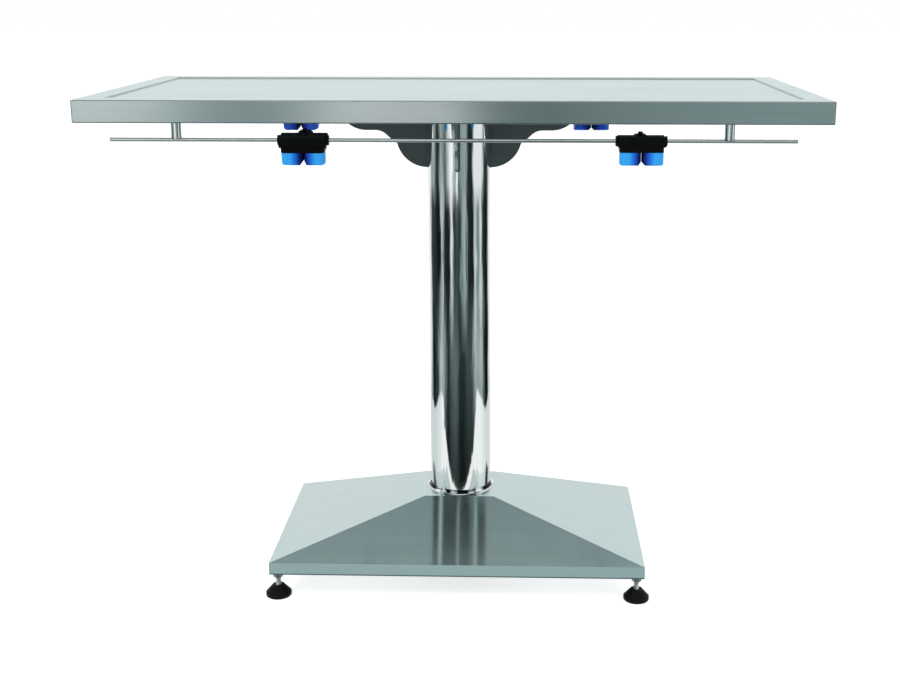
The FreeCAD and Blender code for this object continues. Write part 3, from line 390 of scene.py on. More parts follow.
# %% Boards round the column
SHEET_RADIUS = 1.16      # round edge of the white sheet, with a notch on each side
NOTCH_RADIUS = 0.96      # how far the sheet reaches at a notch
NOTCH_SLOPE = 0.005      # and how much further with each degree away from it
NOTCH_AT = 112           # degrees round the column at which a notch is deepest
SHEET_FRONT = 0.445      # straight front edge of the sheet
SHEET_HEIGHT = 0.0008    # the cards lie just above the floor
CARD_HEIGHT = 0.001
ROOM_RADIUS = 7.0
LOW_WALL_TOP = 2.6
HIGH_WALL_TOP = 4.4
SHADE_SIZE = (0.9, 0.165)        # the greyer strip on the sheet
SHADE_MIDDLE = -0.2965           # along Y
ALL_ROUND = range(-180, 181, 3)


def ring_edge(radius, height):
    """An edge that keeps one radius and one height."""
    return lambda turn: (radius, height)


def sheet_edge(height):
    """The white sheet's outline at a height: round with two notches, and straight in front."""
    def edge(turn):
        off_notch = abs(abs(math.degrees(turn)) - NOTCH_AT)
        radius = min(SHEET_RADIUS, NOTCH_RADIUS + NOTCH_SLOPE * off_notch)
        ahead = math.cos(turn)
        return (min(radius, SHEET_FRONT / ahead) if ahead > 0.01 else radius), height
    return edge


band("white_sheet", ring_edge(0.02, SHEET_HEIGHT), sheet_edge(SHEET_HEIGHT), ALL_ROUND,
     sheet_tones)
band("studio_floor", sheet_edge(CARD_HEIGHT), ring_edge(ROOM_RADIUS, CARD_HEIGHT), ALL_ROUND,
     room_tones)
band("low_wall", ring_edge(ROOM_RADIUS, 0.0), ring_edge(ROOM_RADIUS, LOW_WALL_TOP),
     range(-105, 106, 3), room_tones)
band("high_wall", ring_edge(ROOM_RADIUS, LOW_WALL_TOP), ring_edge(ROOM_RADIUS, HIGH_WALL_TOP),
     range(-60, 61, 3), grey_card("flag_black", 0.008))
sheet_shade = level_board("sheet_shade", *SHADE_SIZE, (0, SHADE_MIDDLE, CARD_HEIGHT))
only_in_reflections(sheet_shade, grey_card("sheet_grey", 0.62))

# %% [markdown]
# ## Studio: what the base mirrors
# The sloped front of the base looks up under the top. A lit board left and right of the column and
# three thin strips give it its soft bright fields. The column's head stands in their way and would
# mirror their edges as odd patches, so these boards are clear for rays that meet them from above.

# %% Boards under the top
UNDER_TOP = 0.79       # height of these boards
BOARD_DEPTH = 0.26
BOARD_MIDDLE = -0.10   # along Y

lit_ceiling = grey_card("lit_ceiling", 0.40, from_below=True)
strip_white = grey_card("strip_white", 0.75, from_below=True)
for name, left, right, card in (
        ("ceiling_left", -0.605, -0.091, lit_ceiling), ("ceiling_right", 0.034, 0.605, lit_ceiling),
        ("strip_left", -0.0765, -0.0695, strip_white),
        ("strip_middle", -0.033, -0.0295, strip_white),
        ("strip_right", 0.0072, 0.0137, strip_white)):
    board = level_board(name, right - left, BOARD_DEPTH,
                        ((left + right) / 2, BOARD_MIDDLE, UNDER_TOP))
    only_in_reflections(board, card)

# %% [markdown]
# ## Finishes: shared effects
# Two effects recur: the fine parallel scratches of brushed steel, and the faint uneven film that
# hands and cloths leave. Both are noise on the position of a point, stretched a lot or not at all.
# Each is a node group with named sockets, built once and set per finish.

# %% Shader groups


def noise(tree, vector, detail=2.0):
    """A noise texture at scale 1 that reads an already scaled position."""
    return add_node(tree, "ShaderNodeTexNoise", {
        "Vector": vector, "Scale": 1.0, "Detail": detail}).outputs["Fac"]


def scaled_position(tree, x, y, z):
    """Object position times three scales, which are sockets or numbers."""
    return add_node(tree, "ShaderNodeVectorMath", {
        0: object_position(tree), 1: join_axes(tree, x, y, z)}, operation="MULTIPLY").outputs[0]


def new_group(name, sizes, result, make_value):
    """A shader group with float inputs (title: default) and one float output."""
    group = bpy.data.node_groups.new(name, "ShaderNodeTree")
    new_socket = group.interface.new_socket
    for title, value in sizes.items():
        new_socket(name=title, in_out="INPUT", socket_type="NodeSocketFloat").default_value = value
    new_socket(name=result, in_out="OUTPUT", socket_type="NodeSocketFloat")
    value = make_value(group, add_node(group, "NodeGroupInput").outputs)
    add_node(group, "NodeGroupOutput", {0: value})
    print("group", name, "has", len(group.nodes), "nodes")
    return group


def place_group(tree, group, **values):
    """The output of a group with its inputs set; underscores stand for spaces."""
    return add_node(tree, "ShaderNodeGroup", {
        title.replace("_", " "): value for title, value in values.items()},
        node_tree=group).outputs[0]


grain_group = new_group(
    "brushed_grain", {"Along X": 6.0, "Along Y": 900.0, "Along Z": 900.0}, "Grain",
    lambda group, sizes: noise(group, scaled_position(
        group, sizes["Along X"], sizes["Along Y"], sizes["Along Z"]), 4.0))
film_group = new_group(
    "handled_film", {"Patch Size": 9.0}, "Film",
    lambda group, sizes: noise(group, scaled_position(
        group, sizes["Patch Size"], sizes["Patch Size"], sizes["Patch Size"]), 5.0))

# %% [markdown]
# ## Finishes: how one is made
# Every finish is a Principled shader whose colour, roughness and bump are varied a little by the
# groups. Values that are the same all over a piece sit on the shader's own sockets, because a
# model that leaves Blender keeps them only there.

# %% Finish helpers


def new_finish(name, colour, roughness, metallic=0.0):
    """A Principled material with plain values; returns it with its tree and shader."""
    made = bpy.data.materials.new(name)
    made.use_nodes = True
    tree = made.node_tree
    shader = tree.nodes["Principled BSDF"]
    for title, value in (("Base Color", colour), ("Roughness", roughness), ("Metallic", metallic)):
        feed(tree, shader.inputs[title], value)
    print("finish:", name)
    return made, tree, shader


def shade_colour(tree, shader, value, dark, light):
    """Lets a 0..1 value drive the base colour between two colours."""
    feed(tree, shader.inputs["Base Color"], mix_colours(tree, value, dark, light))


def recolour(tree, shader, mask, colour):
    """Lays another colour over the shader's own where a mask is 1."""
    own = shader.inputs["Base Color"].links[0].from_socket
    shade_colour(tree, shader, mask, own, colour)


def vary_roughness(tree, shader, value, low, high):
    """Lets a 0..1 value drive the roughness between two levels."""
    feed(tree, shader.inputs["Roughness"], remap(tree, value, low, high))


def emboss(tree, shader, height, depth, strength=1.0):
    """Feeds a height into the shader's normal; depth is in metres."""
    bump = add_node(tree, "ShaderNodeBump", {
        "Height": height, "Distance": depth, "Strength": strength})
    feed(tree, shader.inputs["Normal"], bump.outputs["Normal"])


# %% [markdown]
# ## Finishes: brushed sheet
# The top and the base cover are folded from brushed stainless sheet. Brushing blurs a reflection
# across its lines and leaves it sharp along them, which is what Anisotropic and a tangent do. Two
# more things draw a folded sheet, both painted shade in its colour: dark lines where it folds, and
# a dark line along a lower edge where the sheet turns under.

# %% Brushed sheet
# Colour of the painted shade: dark lines at the folds and along a lower edge.
PAINTED_SHADE_LINE = (0.05, 0.07, 0.07)


def across_the_grain(tree):
    """Direction in which brushing blurs a reflection: across X, and along Y on the end faces."""
    sideways = math_node(tree, "ABSOLUTE", split_axes(tree, surface_normal(tree))["X"])
    return join_axes(tree, 0.0, 1.0, math_node(tree, "LESS_THAN", sideways, 0.7))


def paint_bend_shade(tree, shader, depth):
    """Painted shade at folds: darker where the normal is neither level nor upright."""
    upward = math_node(tree, "POWER", split_axes(tree, surface_normal(tree))["Z"], 2.0)
    bend = math_node(tree, "MULTIPLY", upward, math_node(tree, "SUBTRACT", 1.0, upward))
    recolour(tree, shader, math_node(tree, "MULTIPLY", bend, 4 * depth), PAINTED_SHADE_LINE)


def paint_hem_shadow(tree, shader, height):
    """Painted shadow: a dark line along a lower edge, up to a height."""
    below = math_node(tree, "LESS_THAN", split_axes(tree, object_position(tree))["Z"], height)
    recolour(tree, shader, math_node(tree, "MULTIPLY", below, 0.85), PAINTED_SHADE_LINE)


def brushed_stainless(name, tint, low, high, streaks=0.04, bend_shade=0.0, hem_shadow=0.0):
    """Sheet with its grain along X. low and high bound its roughness, streaks its tones."""
    made, tree, shader = new_finish(name, tint, 0.28, 1.0)
    grain = place_group(tree, grain_group, Along_X=5.0, Along_Y=900.0, Along_Z=900.0)
    film = place_group(tree, film_group, Patch_Size=7.0)
    vary_roughness(tree, shader, average(tree, grain, film), low, high)
    broad = place_group(tree, grain_group, Along_X=1.4, Along_Y=45.0, Along_Z=45.0)
    shade_colour(tree, shader, remap(tree, average(tree, grain, broad), -0.5, 1.5),
                 tuple(channel * (1 - streaks) for channel in tint),
                 tuple(channel * (1 + streaks) for channel in tint))
    # Painted shade: dark lines at the folds and along a lower edge.
    if bend_shade:
        paint_bend_shade(tree, shader, bend_shade)
    if hem_shadow:
        paint_hem_shadow(tree, shader, hem_shadow)
    shader.inputs["Anisotropic"].default_value = 1.0
    feed(tree, shader.inputs["Tangent"], across_the_grain(tree))
    emboss(tree, shader, grain, 0.00001, 0.15)
    return made


# %% [markdown]
# ## Finishes: polished tube, collar and rod
# The column is nearly a mirror, with lengthwise draw lines and the slight waviness of rolled tube.
# The trim ring at its foot is so narrow that one reflection fills it: the tube above, mirrored as
# light and dark bands. They are painted on its inner part, because a mirror of a mirror needs many
# samples to come out clean. The rails are bright round bar, with a light core and painted shade on
# the sides that turn away from the view.

# %% Polished tube
MIRROR = (0.83, 0.87, 0.86)


def polished_stainless(name):
    """Mirror-like tube with draw lines along Z."""
    made, tree, shader = new_finish(name, MIRROR, 0.06, 1.0)
    grain = place_group(tree, grain_group, Along_X=700.0, Along_Y=700.0, Along_Z=1.5)
    vary_roughness(tree, shader, grain, 0.02, 0.10)
    emboss(tree, shader, noise(tree, scaled_position(tree, 60.0, 60.0, 7.0)), 0.0008)
    return made


# %% Collar
COLLAR_TONES = (
    (-180, 0.8), (-90, 0.8), (-84, 0.01), (-52, 0.01), (-44, 0.9), (-38, 0.9), (-36, 0.05),
    (-34, 0.9), (-27, 0.9), (-24, 0.01), (-18, 0.01), (-14, 0.7), (-6, 0.5), (-3, 0.01),
    (15, 0.01), (20, 0.9), (27, 0.8), (30, 0.03), (33, 0.9), (41, 0.9), (50, 0.01), (82, 0.01),
    (90, 0.8), (180, 0.8))
COLLAR_RIM = (0.0605, 0.0625)     # radii over which the bands give way to plain steel


def collar_steel(name):
    """Polished ring with the tube's bands on its inner part."""
    made, tree, shader = new_finish(name, MIRROR, 0.12, 1.0)
    direction, distance = direction_round_column(tree)
    shade_colour(tree, shader, remap(tree, distance, 0.0, 1.0, *COLLAR_RIM),
                 tone_ramp(tree, direction, COLLAR_TONES), MIRROR)
    return made


# %% Rod


def rod_with_painted_shade(name):
    """Bright round bar: a light core, and painted shade on the sides that turn from the view."""
    made, tree, shader = new_finish(name, (0.80, 0.86, 0.86), 0.24, 1.0)
    # Painted shade: the colour darkens as the surface turns away from the view.
    facing = add_node(tree, "ShaderNodeLayerWeight", {"Blend": 0.5}).outputs["Facing"]
    shade_colour(tree, shader, remap(tree, facing, 0.0, 1.0, 0.15, 0.75), (0.84, 0.90, 0.90),
                 (0.06, 0.085, 0.085))
    vary_roughness(tree, shader, place_group(tree, film_group, Patch_Size=30.0), 0.14, 0.30)
    return made


# %% [markdown]
# ## Finishes: painted and plated steel
# The gussets, stiffeners and frame are powder coated: a fine orange peel with a slightly uneven
# tone. The front and back gussets show their edges to whoever stands at the table, and there a
# bright bare-steel colour is painted on as a highlight: the mask for it is only which way the
# surface faces. Nuts and bolts are zinc plated, which looks cloudy.

# %% Painted and plated steel


def painted_charcoal(name, highlight_edges=False):
    """Powder coat, and bright bare steel on the edges across X as a painted highlight."""
    made, tree, shader = new_finish(name, (0.07, 0.095, 0.097), 0.4)
    film = place_group(tree, film_group, Patch_Size=14.0)
    shade_colour(tree, shader, film, (0.05, 0.07, 0.071), (0.09, 0.122, 0.124))
    vary_roughness(tree, shader, film, 0.3, 0.5)
    shader.inputs["Specular IOR Level"].default_value = 0.35
    emboss(tree, shader, noise(tree, scaled_position(tree, 420.0, 420.0, 420.0)), 0.00006, 0.4)
    if highlight_edges:
        # Painted highlight: bright, metallic colour on the faces across X, the plates' edges.
        sideways = math_node(tree, "ABSOLUTE", split_axes(tree, surface_normal(tree))["X"])
        edge = math_node(tree, "LESS_THAN", sideways, 0.5)
        recolour(tree, shader, edge, (0.62, 0.68, 0.68))
        feed(tree, shader.inputs["Metallic"], edge)
    return made


def zinc_steel(name, dark=(0.50, 0.52, 0.51), light=(0.72, 0.74, 0.73)):
    """Plated hardware, cloudy between a dark and a light tone."""
    made, tree, shader = new_finish(name, light, 0.25, 1.0)
    film = place_group(tree, film_group, Patch_Size=160.0)
    shade_colour(tree, shader, film, dark, light)
    vary_roughness(tree, shader, film, 0.15, 0.4)
    return made


# %% [markdown]
# ## Finishes: plastics and rubber
# The cleats are moulded in black nylon with two blue toothed cams, and the feet are rubber. Black
# plastic mirrors little, so its specular level is low and a fine moulded texture breaks up what is
# left. The blue is painted darker towards the rope's mouth, as shade where the teeth turn away from
# the light, and the back cams' blue is darkened as painted shade under the top.

# %% Plastics and rubber
# Painted shade in the cams' blue: darkest at the rope's mouth, lightening over this reach.
CAM_SHADE_REACH = 0.021      # metres from the rope's mouth to the brightest part of a cam


def moulded_black(name, roughness=0.42):
    """Black nylon with a fine moulded texture."""
    made, tree, shader = new_finish(name, (0.003, 0.0036, 0.004), roughness)
    film = place_group(tree, film_group, Patch_Size=60.0)
    shade_colour(tree, shader, film, (0.0015, 0.002, 0.0024), (0.005, 0.006, 0.0065))
    vary_roughness(tree, shader, film, roughness - 0.08, roughness + 0.1)
    shader.inputs["Specular IOR Level"].default_value = 0.08
    emboss(tree, shader, noise(tree, scaled_position(tree, 1500.0, 1500.0, 1500.0)), 0.00003, 0.4)
    return made


def foot_rubber(name):
    """Black rubber, dusty in patches."""
    made, tree, shader = new_finish(name, (0.004, 0.0045, 0.005), 0.45)
    film = place_group(tree, film_group, Patch_Size=90.0)
    shade_colour(tree, shader, film, (0.002, 0.0025, 0.003), (0.008, 0.0085, 0.009))
    vary_roughness(tree, shader, film, 0.32, 0.55)
    shader.inputs["Specular IOR Level"].default_value = 0.08
    emboss(tree, shader, film, 0.0001, 0.3)
    return made


def cam_blue(name, mouth, light):
    """Glossy blue nylon with painted shade near the mouth's X; light below 1 is painted shade too.
    """
    made, tree, shader = new_finish(name, (0.03, 0.33, 0.9), 0.25)
    away = math_node(tree, "ABSOLUTE", math_node(
        tree, "SUBTRACT", split_axes(tree, object_position(tree))["X"], mouth))
    # Painted shade: the blue darkens towards the mouth, and light below 1 darkens every stop.
    ramp = add_node(tree, "ShaderNodeValToRGB", {
        "Fac": math_node(tree, "DIVIDE", away, CAM_SHADE_REACH)})
    stops = ramp.color_ramp.elements
    stops[0].color = (0.0, 0.002 * light, 0.02 * light, 1)
    stops[1].color = (0.035 * light, 0.42 * light ** 2, 1.0 * light ** 0.5, 1)
    stops.new(0.3).color = (0.0005 * light, 0.02 * light, 0.26 * light, 1)
    stops.new(0.65).color = (0.008 * light, 0.18 * light ** 2, 0.80 * light ** 0.5, 1)
    feed(tree, shader.inputs["Base Color"], ramp.outputs["Color"])
    vary_roughness(tree, shader, place_group(tree, film_group, Patch_Size=80.0), 0.18, 0.32)
    shader.inputs["Specular IOR Level"].default_value = 0.25
    return made


# %% [markdown]
# ## Dress the CAD pieces
# A CAD piece keeps its mesh and only gets a finish in its material slots. The top's grain runs
# along the table and turns down over the ends, so the pieces are grouped by what they are made of.

# %% Give each node its finish
# Painted shadow: the dark line along the base's lower edge reaches this height above it.
HEM_SHADOW = 0.0022      # height of the dark line along the base's lower edge
# Painted shade: the back cams' blue is darkened by this factor.
BACK_CAM_SHADE = 0.55      # the back cleats hang in the shade of the top

sheet_long = brushed_stainless("sheet_top", (0.59, 0.69, 0.69), 0.13, 0.35, streaks=0.12,
                               bend_shade=0.75)
sheet_base = brushed_stainless("sheet_base", (0.51, 0.62, 0.62), 0.03, 0.19,
                               hem_shadow=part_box("base_cover")[0].z + HEM_SHADOW)
rod_steel = rod_with_painted_shade("rod_steel")
mirror_steel = polished_stainless("mirror_steel")
trim_steel = collar_steel("trim_steel")
charcoal_paint = painted_charcoal("charcoal_paint")
charcoal_edge_highlight = painted_charcoal("charcoal_edge_highlight", highlight_edges=True)
bright_zinc = zinc_steel("bright_zinc")
dark_zinc = zinc_steel("dark_zinc", (0.10, 0.12, 0.12), (0.22, 0.25, 0.25))
black_nylon = moulded_black("black_nylon")
black_screw = moulded_black("black_screw", 0.3)
rubber = foot_rubber("rubber")


def dress(names, material):
    """Puts one material on each named CAD node."""
    for name in names:
        mesh = nodes[name].data
        mesh.materials.clear()
        mesh.materials.append(material)
    print(material.name, "on", len(names), "nodes")


dress(["table_top"], sheet_long)
dress(["base_cover"], sheet_base)
dress(["rail_front", "rail_back"] + ["rail_post_" + corner for corner in CORNERS], rod_steel)
dress(["column_tube"], mirror_steel)
dress(["column_collar"], trim_steel)
dress(["top_stiffeners", "mount_plate", "base_frame", "column_flange", "gusset_left",
       "gusset_right"], charcoal_paint)
dress(["gusset_front", "gusset_back"], charcoal_edge_highlight)
dress(["foot_pad_" + corner for corner in CORNERS], rubber)
for corner in CORNERS:
    dress([f"{corner}_{piece}" for piece in ("sleeve", "saddle", "cleat_base")], black_nylon)
    dress([f"{corner}_cam_springs"], bright_zinc)
    low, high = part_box(f"{corner}_cleat_base")
    blue = cam_blue(f"cam_blue_{corner}", (low.x + high.x) / 2, 1.0 if low.y < 0 else BACK_CAM_SHADE)
    dress([f"{corner}_cam_left", f"{corner}_cam_right"], blue)

# %% [markdown]
# ## Hardware: how the trees are run
# Nuts, bolts, screws, threads and weld beads repeat, so Geometry Nodes make them. Each tree has
# named inputs for its sizes, and ends in the same way: smooth faces with crisp edges, copies made
# real, and the material. A second helper gives a tree its start points, sets the inputs by their
# identifiers before anything is evaluated, keeps the result as a plain mesh and takes the modifier
# off again, because an exported model can't carry a live tree.

# %% Helpers for Geometry Nodes
CRISP_ANGLE = 0.5      # radians between two faces from which their edge stays crisp


def new_tree(name, sizes, make_shape):
    """A geometry tree with named sizes; make_shape(tree, inputs) builds what it puts out."""
    tree = bpy.data.node_groups.new(name, "GeometryNodeTree")
    new_socket = tree.interface.new_socket
    new_socket(name="Geometry", in_out="INPUT", socket_type="NodeSocketGeometry")
    for title, value in sizes.items():
        new_socket(name=title, in_out="INPUT", socket_type="NodeSocketFloat").default_value = value
    new_socket(name="Material", in_out="INPUT", socket_type="NodeSocketMaterial")
    new_socket(name="Geometry", in_out="OUTPUT", socket_type="NodeSocketGeometry")
    inputs = add_node(tree, "NodeGroupInput").outputs
    smooth = add_node(tree, "GeometryNodeSetShadeSmooth", {0: make_shape(tree, inputs)},
                      domain="FACE")
    angle = add_node(tree, "GeometryNodeInputMeshEdgeAngle").outputs["Unsigned Angle"]
    crisp = add_node(tree, "GeometryNodeSetShadeSmooth", {
        0: smooth.outputs[0], "Shade Smooth": math_node(tree, "LESS_THAN", angle, CRISP_ANGLE)},
        domain="EDGE")
    real = add_node(tree, "GeometryNodeRealizeInstances", {0: crisp.outputs[0]})
    paint = add_node(tree, "GeometryNodeSetMaterial", {
        0: real.outputs[0], "Material": inputs["Material"]})
    add_node(tree, "NodeGroupOutput", {0: paint.outputs[0]})
    print("tree", name, "has", len(tree.nodes), "nodes")
    return tree


def grow(name, tree, points, material, edges=(), **sizes):
    """Runs a tree on start points or edges and keeps the result as a plain mesh."""
    start = bpy.data.meshes.new(name + "_start")
    start.from_pydata(points, edges, [])
    piece = bpy.data.objects.new(name, start)
    bpy.context.scene.collection.objects.link(piece)
    modifier = piece.modifiers.new("shape", "NODES")
    modifier.node_group = tree
    values = {title.replace("_", " "): value for title, value in sizes.items()}
    values["Material"] = material
    for socket in tree.interface.items_tree:
        if socket.in_out == "INPUT" and socket.name in values:
            modifier[socket.identifier] = values[socket.name]
    ready = piece.evaluated_get(bpy.context.evaluated_depsgraph_get())
    finished = bpy.data.meshes.new_from_object(ready)
    piece.modifiers.remove(modifier)
    piece.data = finished
    bpy.data.meshes.remove(start)
    finished.name = name
    print(name, "faces:", len(finished.polygons), "from", len(points), "points")
    return piece


# %% [markdown]
# ## Hardware: rings that make a fastener
# A nut, a bolt head and a socket screw are all stacks of rings round one axis, some round and some
# six-sided. So one helper bends a flat grid into rings: its columns become the angle round the
# axis, and each row gets its own radius and height. A hexagon is only a radius that grows towards
# the corners. Rows of radius zero close the ends.

# %% Ring helpers
AROUND = 48             # steps round the axis; six sides of eight steps each
WELD_WITHIN = 0.000002  # points nearer than this become one


def grid_fields(tree, rows):
    """Angle round the axis and row number of a unit grid's points."""
    x, y, z = split_axes(tree, add_node(tree, "GeometryNodeInputPosition").outputs[0])
    angle = math_node(tree, "MULTIPLY", math_node(tree, "ADD", x, 0.5), 2 * math.pi)
    row = math_node(tree, "MULTIPLY", math_node(tree, "ADD", y, 0.5), rows - 1)
    return angle, math_node(tree, "ROUND", row)


def hexagon_growth(tree, angle):
    """How much further than its flat a hexagon reaches at an angle."""
    turned = math_node(tree, "MODULO", math_node(tree, "ADD", angle, math.pi / 6), math.pi / 3)
    return math_node(tree, "DIVIDE", 1.0, math_node(
        tree, "COSINE", math_node(tree, "SUBTRACT", turned, math.pi / 6)))


def choose_row(tree, row, values):
    """One value for each row number."""
    switch = add_node(tree, "GeometryNodeIndexSwitch", {0: row}, data_type="FLOAT")
    while len(switch.index_switch_items) < len(values):
        switch.index_switch_items.new()
    for socket, value in zip(switch.inputs[1:], values):
        feed(tree, socket, value)
    return switch.outputs[0]


def ring_stack(tree, angle, row, rings):
    """Bends a unit grid into rings of (radius, height); rows run so that faces point outwards."""
    grid = add_node(tree, "GeometryNodeMeshGrid", {
        "Size X": 1, "Size Y": 1, "Vertices X": AROUND + 1, "Vertices Y": len(rings)})
    radius, height = (choose_row(tree, row, values) for values in zip(*rings))
    spot = join_axes(tree, math_node(tree, "MULTIPLY", radius, math_node(tree, "COSINE", angle)),
                     math_node(tree, "MULTIPLY", radius, math_node(tree, "SINE", angle)), height)
    bend = add_node(tree, "GeometryNodeSetPosition", {
        "Geometry": grid.outputs["Mesh"], "Position": spot})
    return add_node(tree, "GeometryNodeMergeByDistance", {
        0: bend.outputs[0], "Distance": WELD_WITHIN}).outputs[0]


def set_out(tree, inputs, shape):
    """Copies a fastener to every start point, tilted, and spun a little at random."""
    copies = add_node(tree, "GeometryNodeInstanceOnPoints", {
        "Points": inputs["Geometry"], "Instance": shape,
        "Rotation": join_axes(tree, inputs["Tilt"])})
    chance = add_node(tree, "FunctionNodeRandomValue", {"Seed": 7}, data_type="FLOAT").outputs[1]
    spin = join_axes(tree, z=math_node(tree, "MULTIPLY", chance, inputs["Spin"]))
    return add_node(tree, "GeometryNodeRotateInstances", {
        "Instances": copies.outputs[0], "Rotation": spin}).outputs[0]


# %% [markdown]
# ## Hardware: nuts and hexagon bolts
# A forged hexagon has its corners turned off by a 30 degree cone, which leaves curved bright
# arcs on its sides. In the tree, that is one subtraction: the further a point is past the
# chamfer's circle, the lower it sits. The nut ends in its bore, and the bolt in a closed tip.

# %% Nut and bolt trees
CHAMFER = math.tan(math.radians(30))
CHAMFER_CIRCLE = 0.95      # radius of the circle where the chamfer starts, as a share of the flat
EDGE_BREAK = 0.0005        # bevel at a nut's bore, and washer face under a bolt's head
TIP_BEVEL = 0.001
BOLT_HEAD = 0.0064


def hexagon_parts(tree, inputs, rows):
    """Fields that a nut and a bolt head share: angle, row, side, corner drop and chamfer ring."""
    angle, row = grid_fields(tree, rows)
    flat = math_node(tree, "MULTIPLY", inputs["Across Flats"], 0.5)
    side = math_node(tree, "MULTIPLY", flat, hexagon_growth(tree, angle))
    ring = math_node(tree, "MULTIPLY", flat, CHAMFER_CIRCLE)
    drop = math_node(tree, "MULTIPLY", math_node(tree, "SUBTRACT", side, ring), CHAMFER)
    return angle, row, side, ring, drop


def hex_nut(tree, inputs):
    """Nine rings: down the bore, out over the lower face, up the sides and back in."""
    angle, row, side, ring, drop = hexagon_parts(tree, inputs, 9)
    bore, height = inputs["Bore"], inputs["Height"]
    mouth = math_node(tree, "ADD", bore, EDGE_BREAK)
    neck = (bore, math_node(tree, "SUBTRACT", height, EDGE_BREAK))
    shoulder = (side, math_node(tree, "SUBTRACT", height, drop))
    return set_out(tree, inputs, ring_stack(tree, angle, row, [
        neck, (bore, EDGE_BREAK), (mouth, 0.0), (ring, 0.0), (side, drop), shoulder,
        (ring, height), (mouth, height), neck]))


def hex_bolt(tree, inputs):
    """Ten rings, from the closed tip along the shank and over the head."""
    angle, row, side, ring, drop = hexagon_parts(tree, inputs, 10)
    shank, height = inputs["Shank"], inputs["Height"]
    end = math_node(tree, "ADD", height, inputs["Length"])
    under = math_node(tree, "SUBTRACT", height, EDGE_BREAK)
    return set_out(tree, inputs, ring_stack(tree, angle, row, [
        (0.0, end), (math_node(tree, "SUBTRACT", shank, TIP_BEVEL), end),
        (shank, math_node(tree, "SUBTRACT", end, TIP_BEVEL)), (shank, height), (ring, height),
        (ring, under), (side, under), (side, drop), (ring, 0.0), (0.0, 0.0)]))


nut_tree = new_tree("hex_nut", {
    "Across Flats": 0.016, "Height": 0.008, "Bore": 0.005, "Tilt": 0.0, "Spin": 1.0}, hex_nut)
bolt_tree = new_tree("hex_bolt", {
    "Across Flats": 0.017, "Height": BOLT_HEAD, "Shank": 0.005, "Length": 0.016, "Tilt": 0.0,
    "Spin": 1.0}, hex_bolt)

# %% [markdown]
# ## Hardware: lock nuts and frame bolts
# Four nuts lock the levelling studs under the frame, four bolts hold the top's plate on its
# stiffeners and four hold the column's flange on the frame. Their heights come from the boxes of
# the solids that they touch, so they sit on them without a measured gap.

# %% Lock nuts and frame bolts
HEAD_BOLT_AT = (0.18, 0.13)         # distances from the column's axis along X and Y
FOOT_BOLT_AT = (0.075, 0.062)
SIDES = [(x, y) for x in (-1, 1) for y in (-1, 1)]


def middle(node):
    """The centre of a CAD node's box."""
    low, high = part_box(node)
    return (low + high) / 2


nut_low, nut_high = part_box("foot_locknuts")
feet = [middle("foot_stud_" + corner) for corner in CORNERS]
locknuts = grow("chamfered_locknuts", nut_tree, [(at.x, at.y, nut_low.z) for at in feet],
                dark_zinc, Across_Flats=0.01588, Height=nut_high.z - nut_low.z, Bore=0.00484)
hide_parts("foot_locknuts")

plate_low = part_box("mount_plate")[0].z
flange_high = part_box("column_flange")[1].z
head_bolts = grow("head_bolts", bolt_tree, [
    (x * HEAD_BOLT_AT[0], y * HEAD_BOLT_AT[1], plate_low - BOLT_HEAD) for x, y in SIDES],
    bright_zinc)
foot_bolts = grow("foot_bolts", bolt_tree, [
    (x * FOOT_BOLT_AT[0], y * FOOT_BOLT_AT[1], flange_high + BOLT_HEAD) for x, y in SIDES],
    bright_zinc, Tilt=math.pi)
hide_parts("frame_bolts")
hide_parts("frame_bolts")
for piece in (locknuts, head_bolts, foot_bolts):
    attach(piece, "table_frame")

# %% [markdown]
# ## Hardware: socket screws
# Each cleat is held by three round-headed screws with a six-sided key socket: two carry the cams
# and one clamps the saddle on its sleeve. The same rings make them, from the tip along the shank,
# over the dome and down into the socket. The cleats hang a few degrees out of plumb, so a screw's
# place is given from its cleat's hub and turned with it.

# %% Socket screw tree
SOCKET_BEVEL = 0.0002
TIP_SHARE = 0.7        # radius of the tip, as a share of the shank's
TIP_CONE = 0.0008      # height of its bevel


def dome_ring(tree, inputs, share):
    """A ring on the rounded shoulder; share 0 is on the flat top and 1 on the side."""
    turn = share * math.pi / 2
    inward = math_node(tree, "MULTIPLY", inputs["Dome"], 1 - math.sin(turn))
    fall = math_node(tree, "MULTIPLY", inputs["Dome"], 1 - math.cos(turn))
    return math_node(tree, "SUBTRACT", inputs["Head"], inward), fall


def socket_screw(tree, inputs):
    """Thirteen rings, the last two down the six-sided socket."""
    angle, row = grid_fields(tree, 13)
    socket = math_node(tree, "MULTIPLY", inputs["Socket"], hexagon_growth(tree, angle))
    under, shank, depth = inputs["Height"], inputs["Shank"], inputs["Depth"]
    tip = math_node(tree, "ADD", under, inputs["Length"])
    return set_out(tree, inputs, ring_stack(tree, angle, row, [
        (0.0, tip), (math_node(tree, "MULTIPLY", shank, TIP_SHARE), tip),
        (shank, math_node(tree, "SUBTRACT", tip, TIP_CONE)), (shank, under),
        (inputs["Head"], under),
        *(dome_ring(tree, inputs, share) for share in (1, 0.67, 0.33, 0)),
        (math_node(tree, "ADD", socket, SOCKET_BEVEL), 0.0), (socket, SOCKET_BEVEL),
        (socket, depth), (0.0, depth)]))


screw_tree = new_tree("socket_screw", {
    "Head": 0.0056, "Height": 0.003, "Dome": 0.0015, "Socket": 0.0018, "Depth": 0.0018,
    "Shank": 0.002, "Length": 0.028, "Tilt": 0.0, "Spin": 1.0}, socket_screw)

# %% Screws on the cleats
LEAN = {"front_left": 10, "front_right": 0, "back_left": -12, "back_right": 8}     # degrees
PIVOT_AT = (0.0194, 0, -0.0371)     # from the hub: sideways, inward and up
CLAMP_AT = (0, 0.020, 0.0135)


def on_cleat(hub, inward, lean, place):
    """A point given from a leaning cleat's hub, in the table's frame."""
    x, y, z = place
    return hub + Matrix.Rotation(lean, 3, "X") @ Vector((x, y * inward, z))


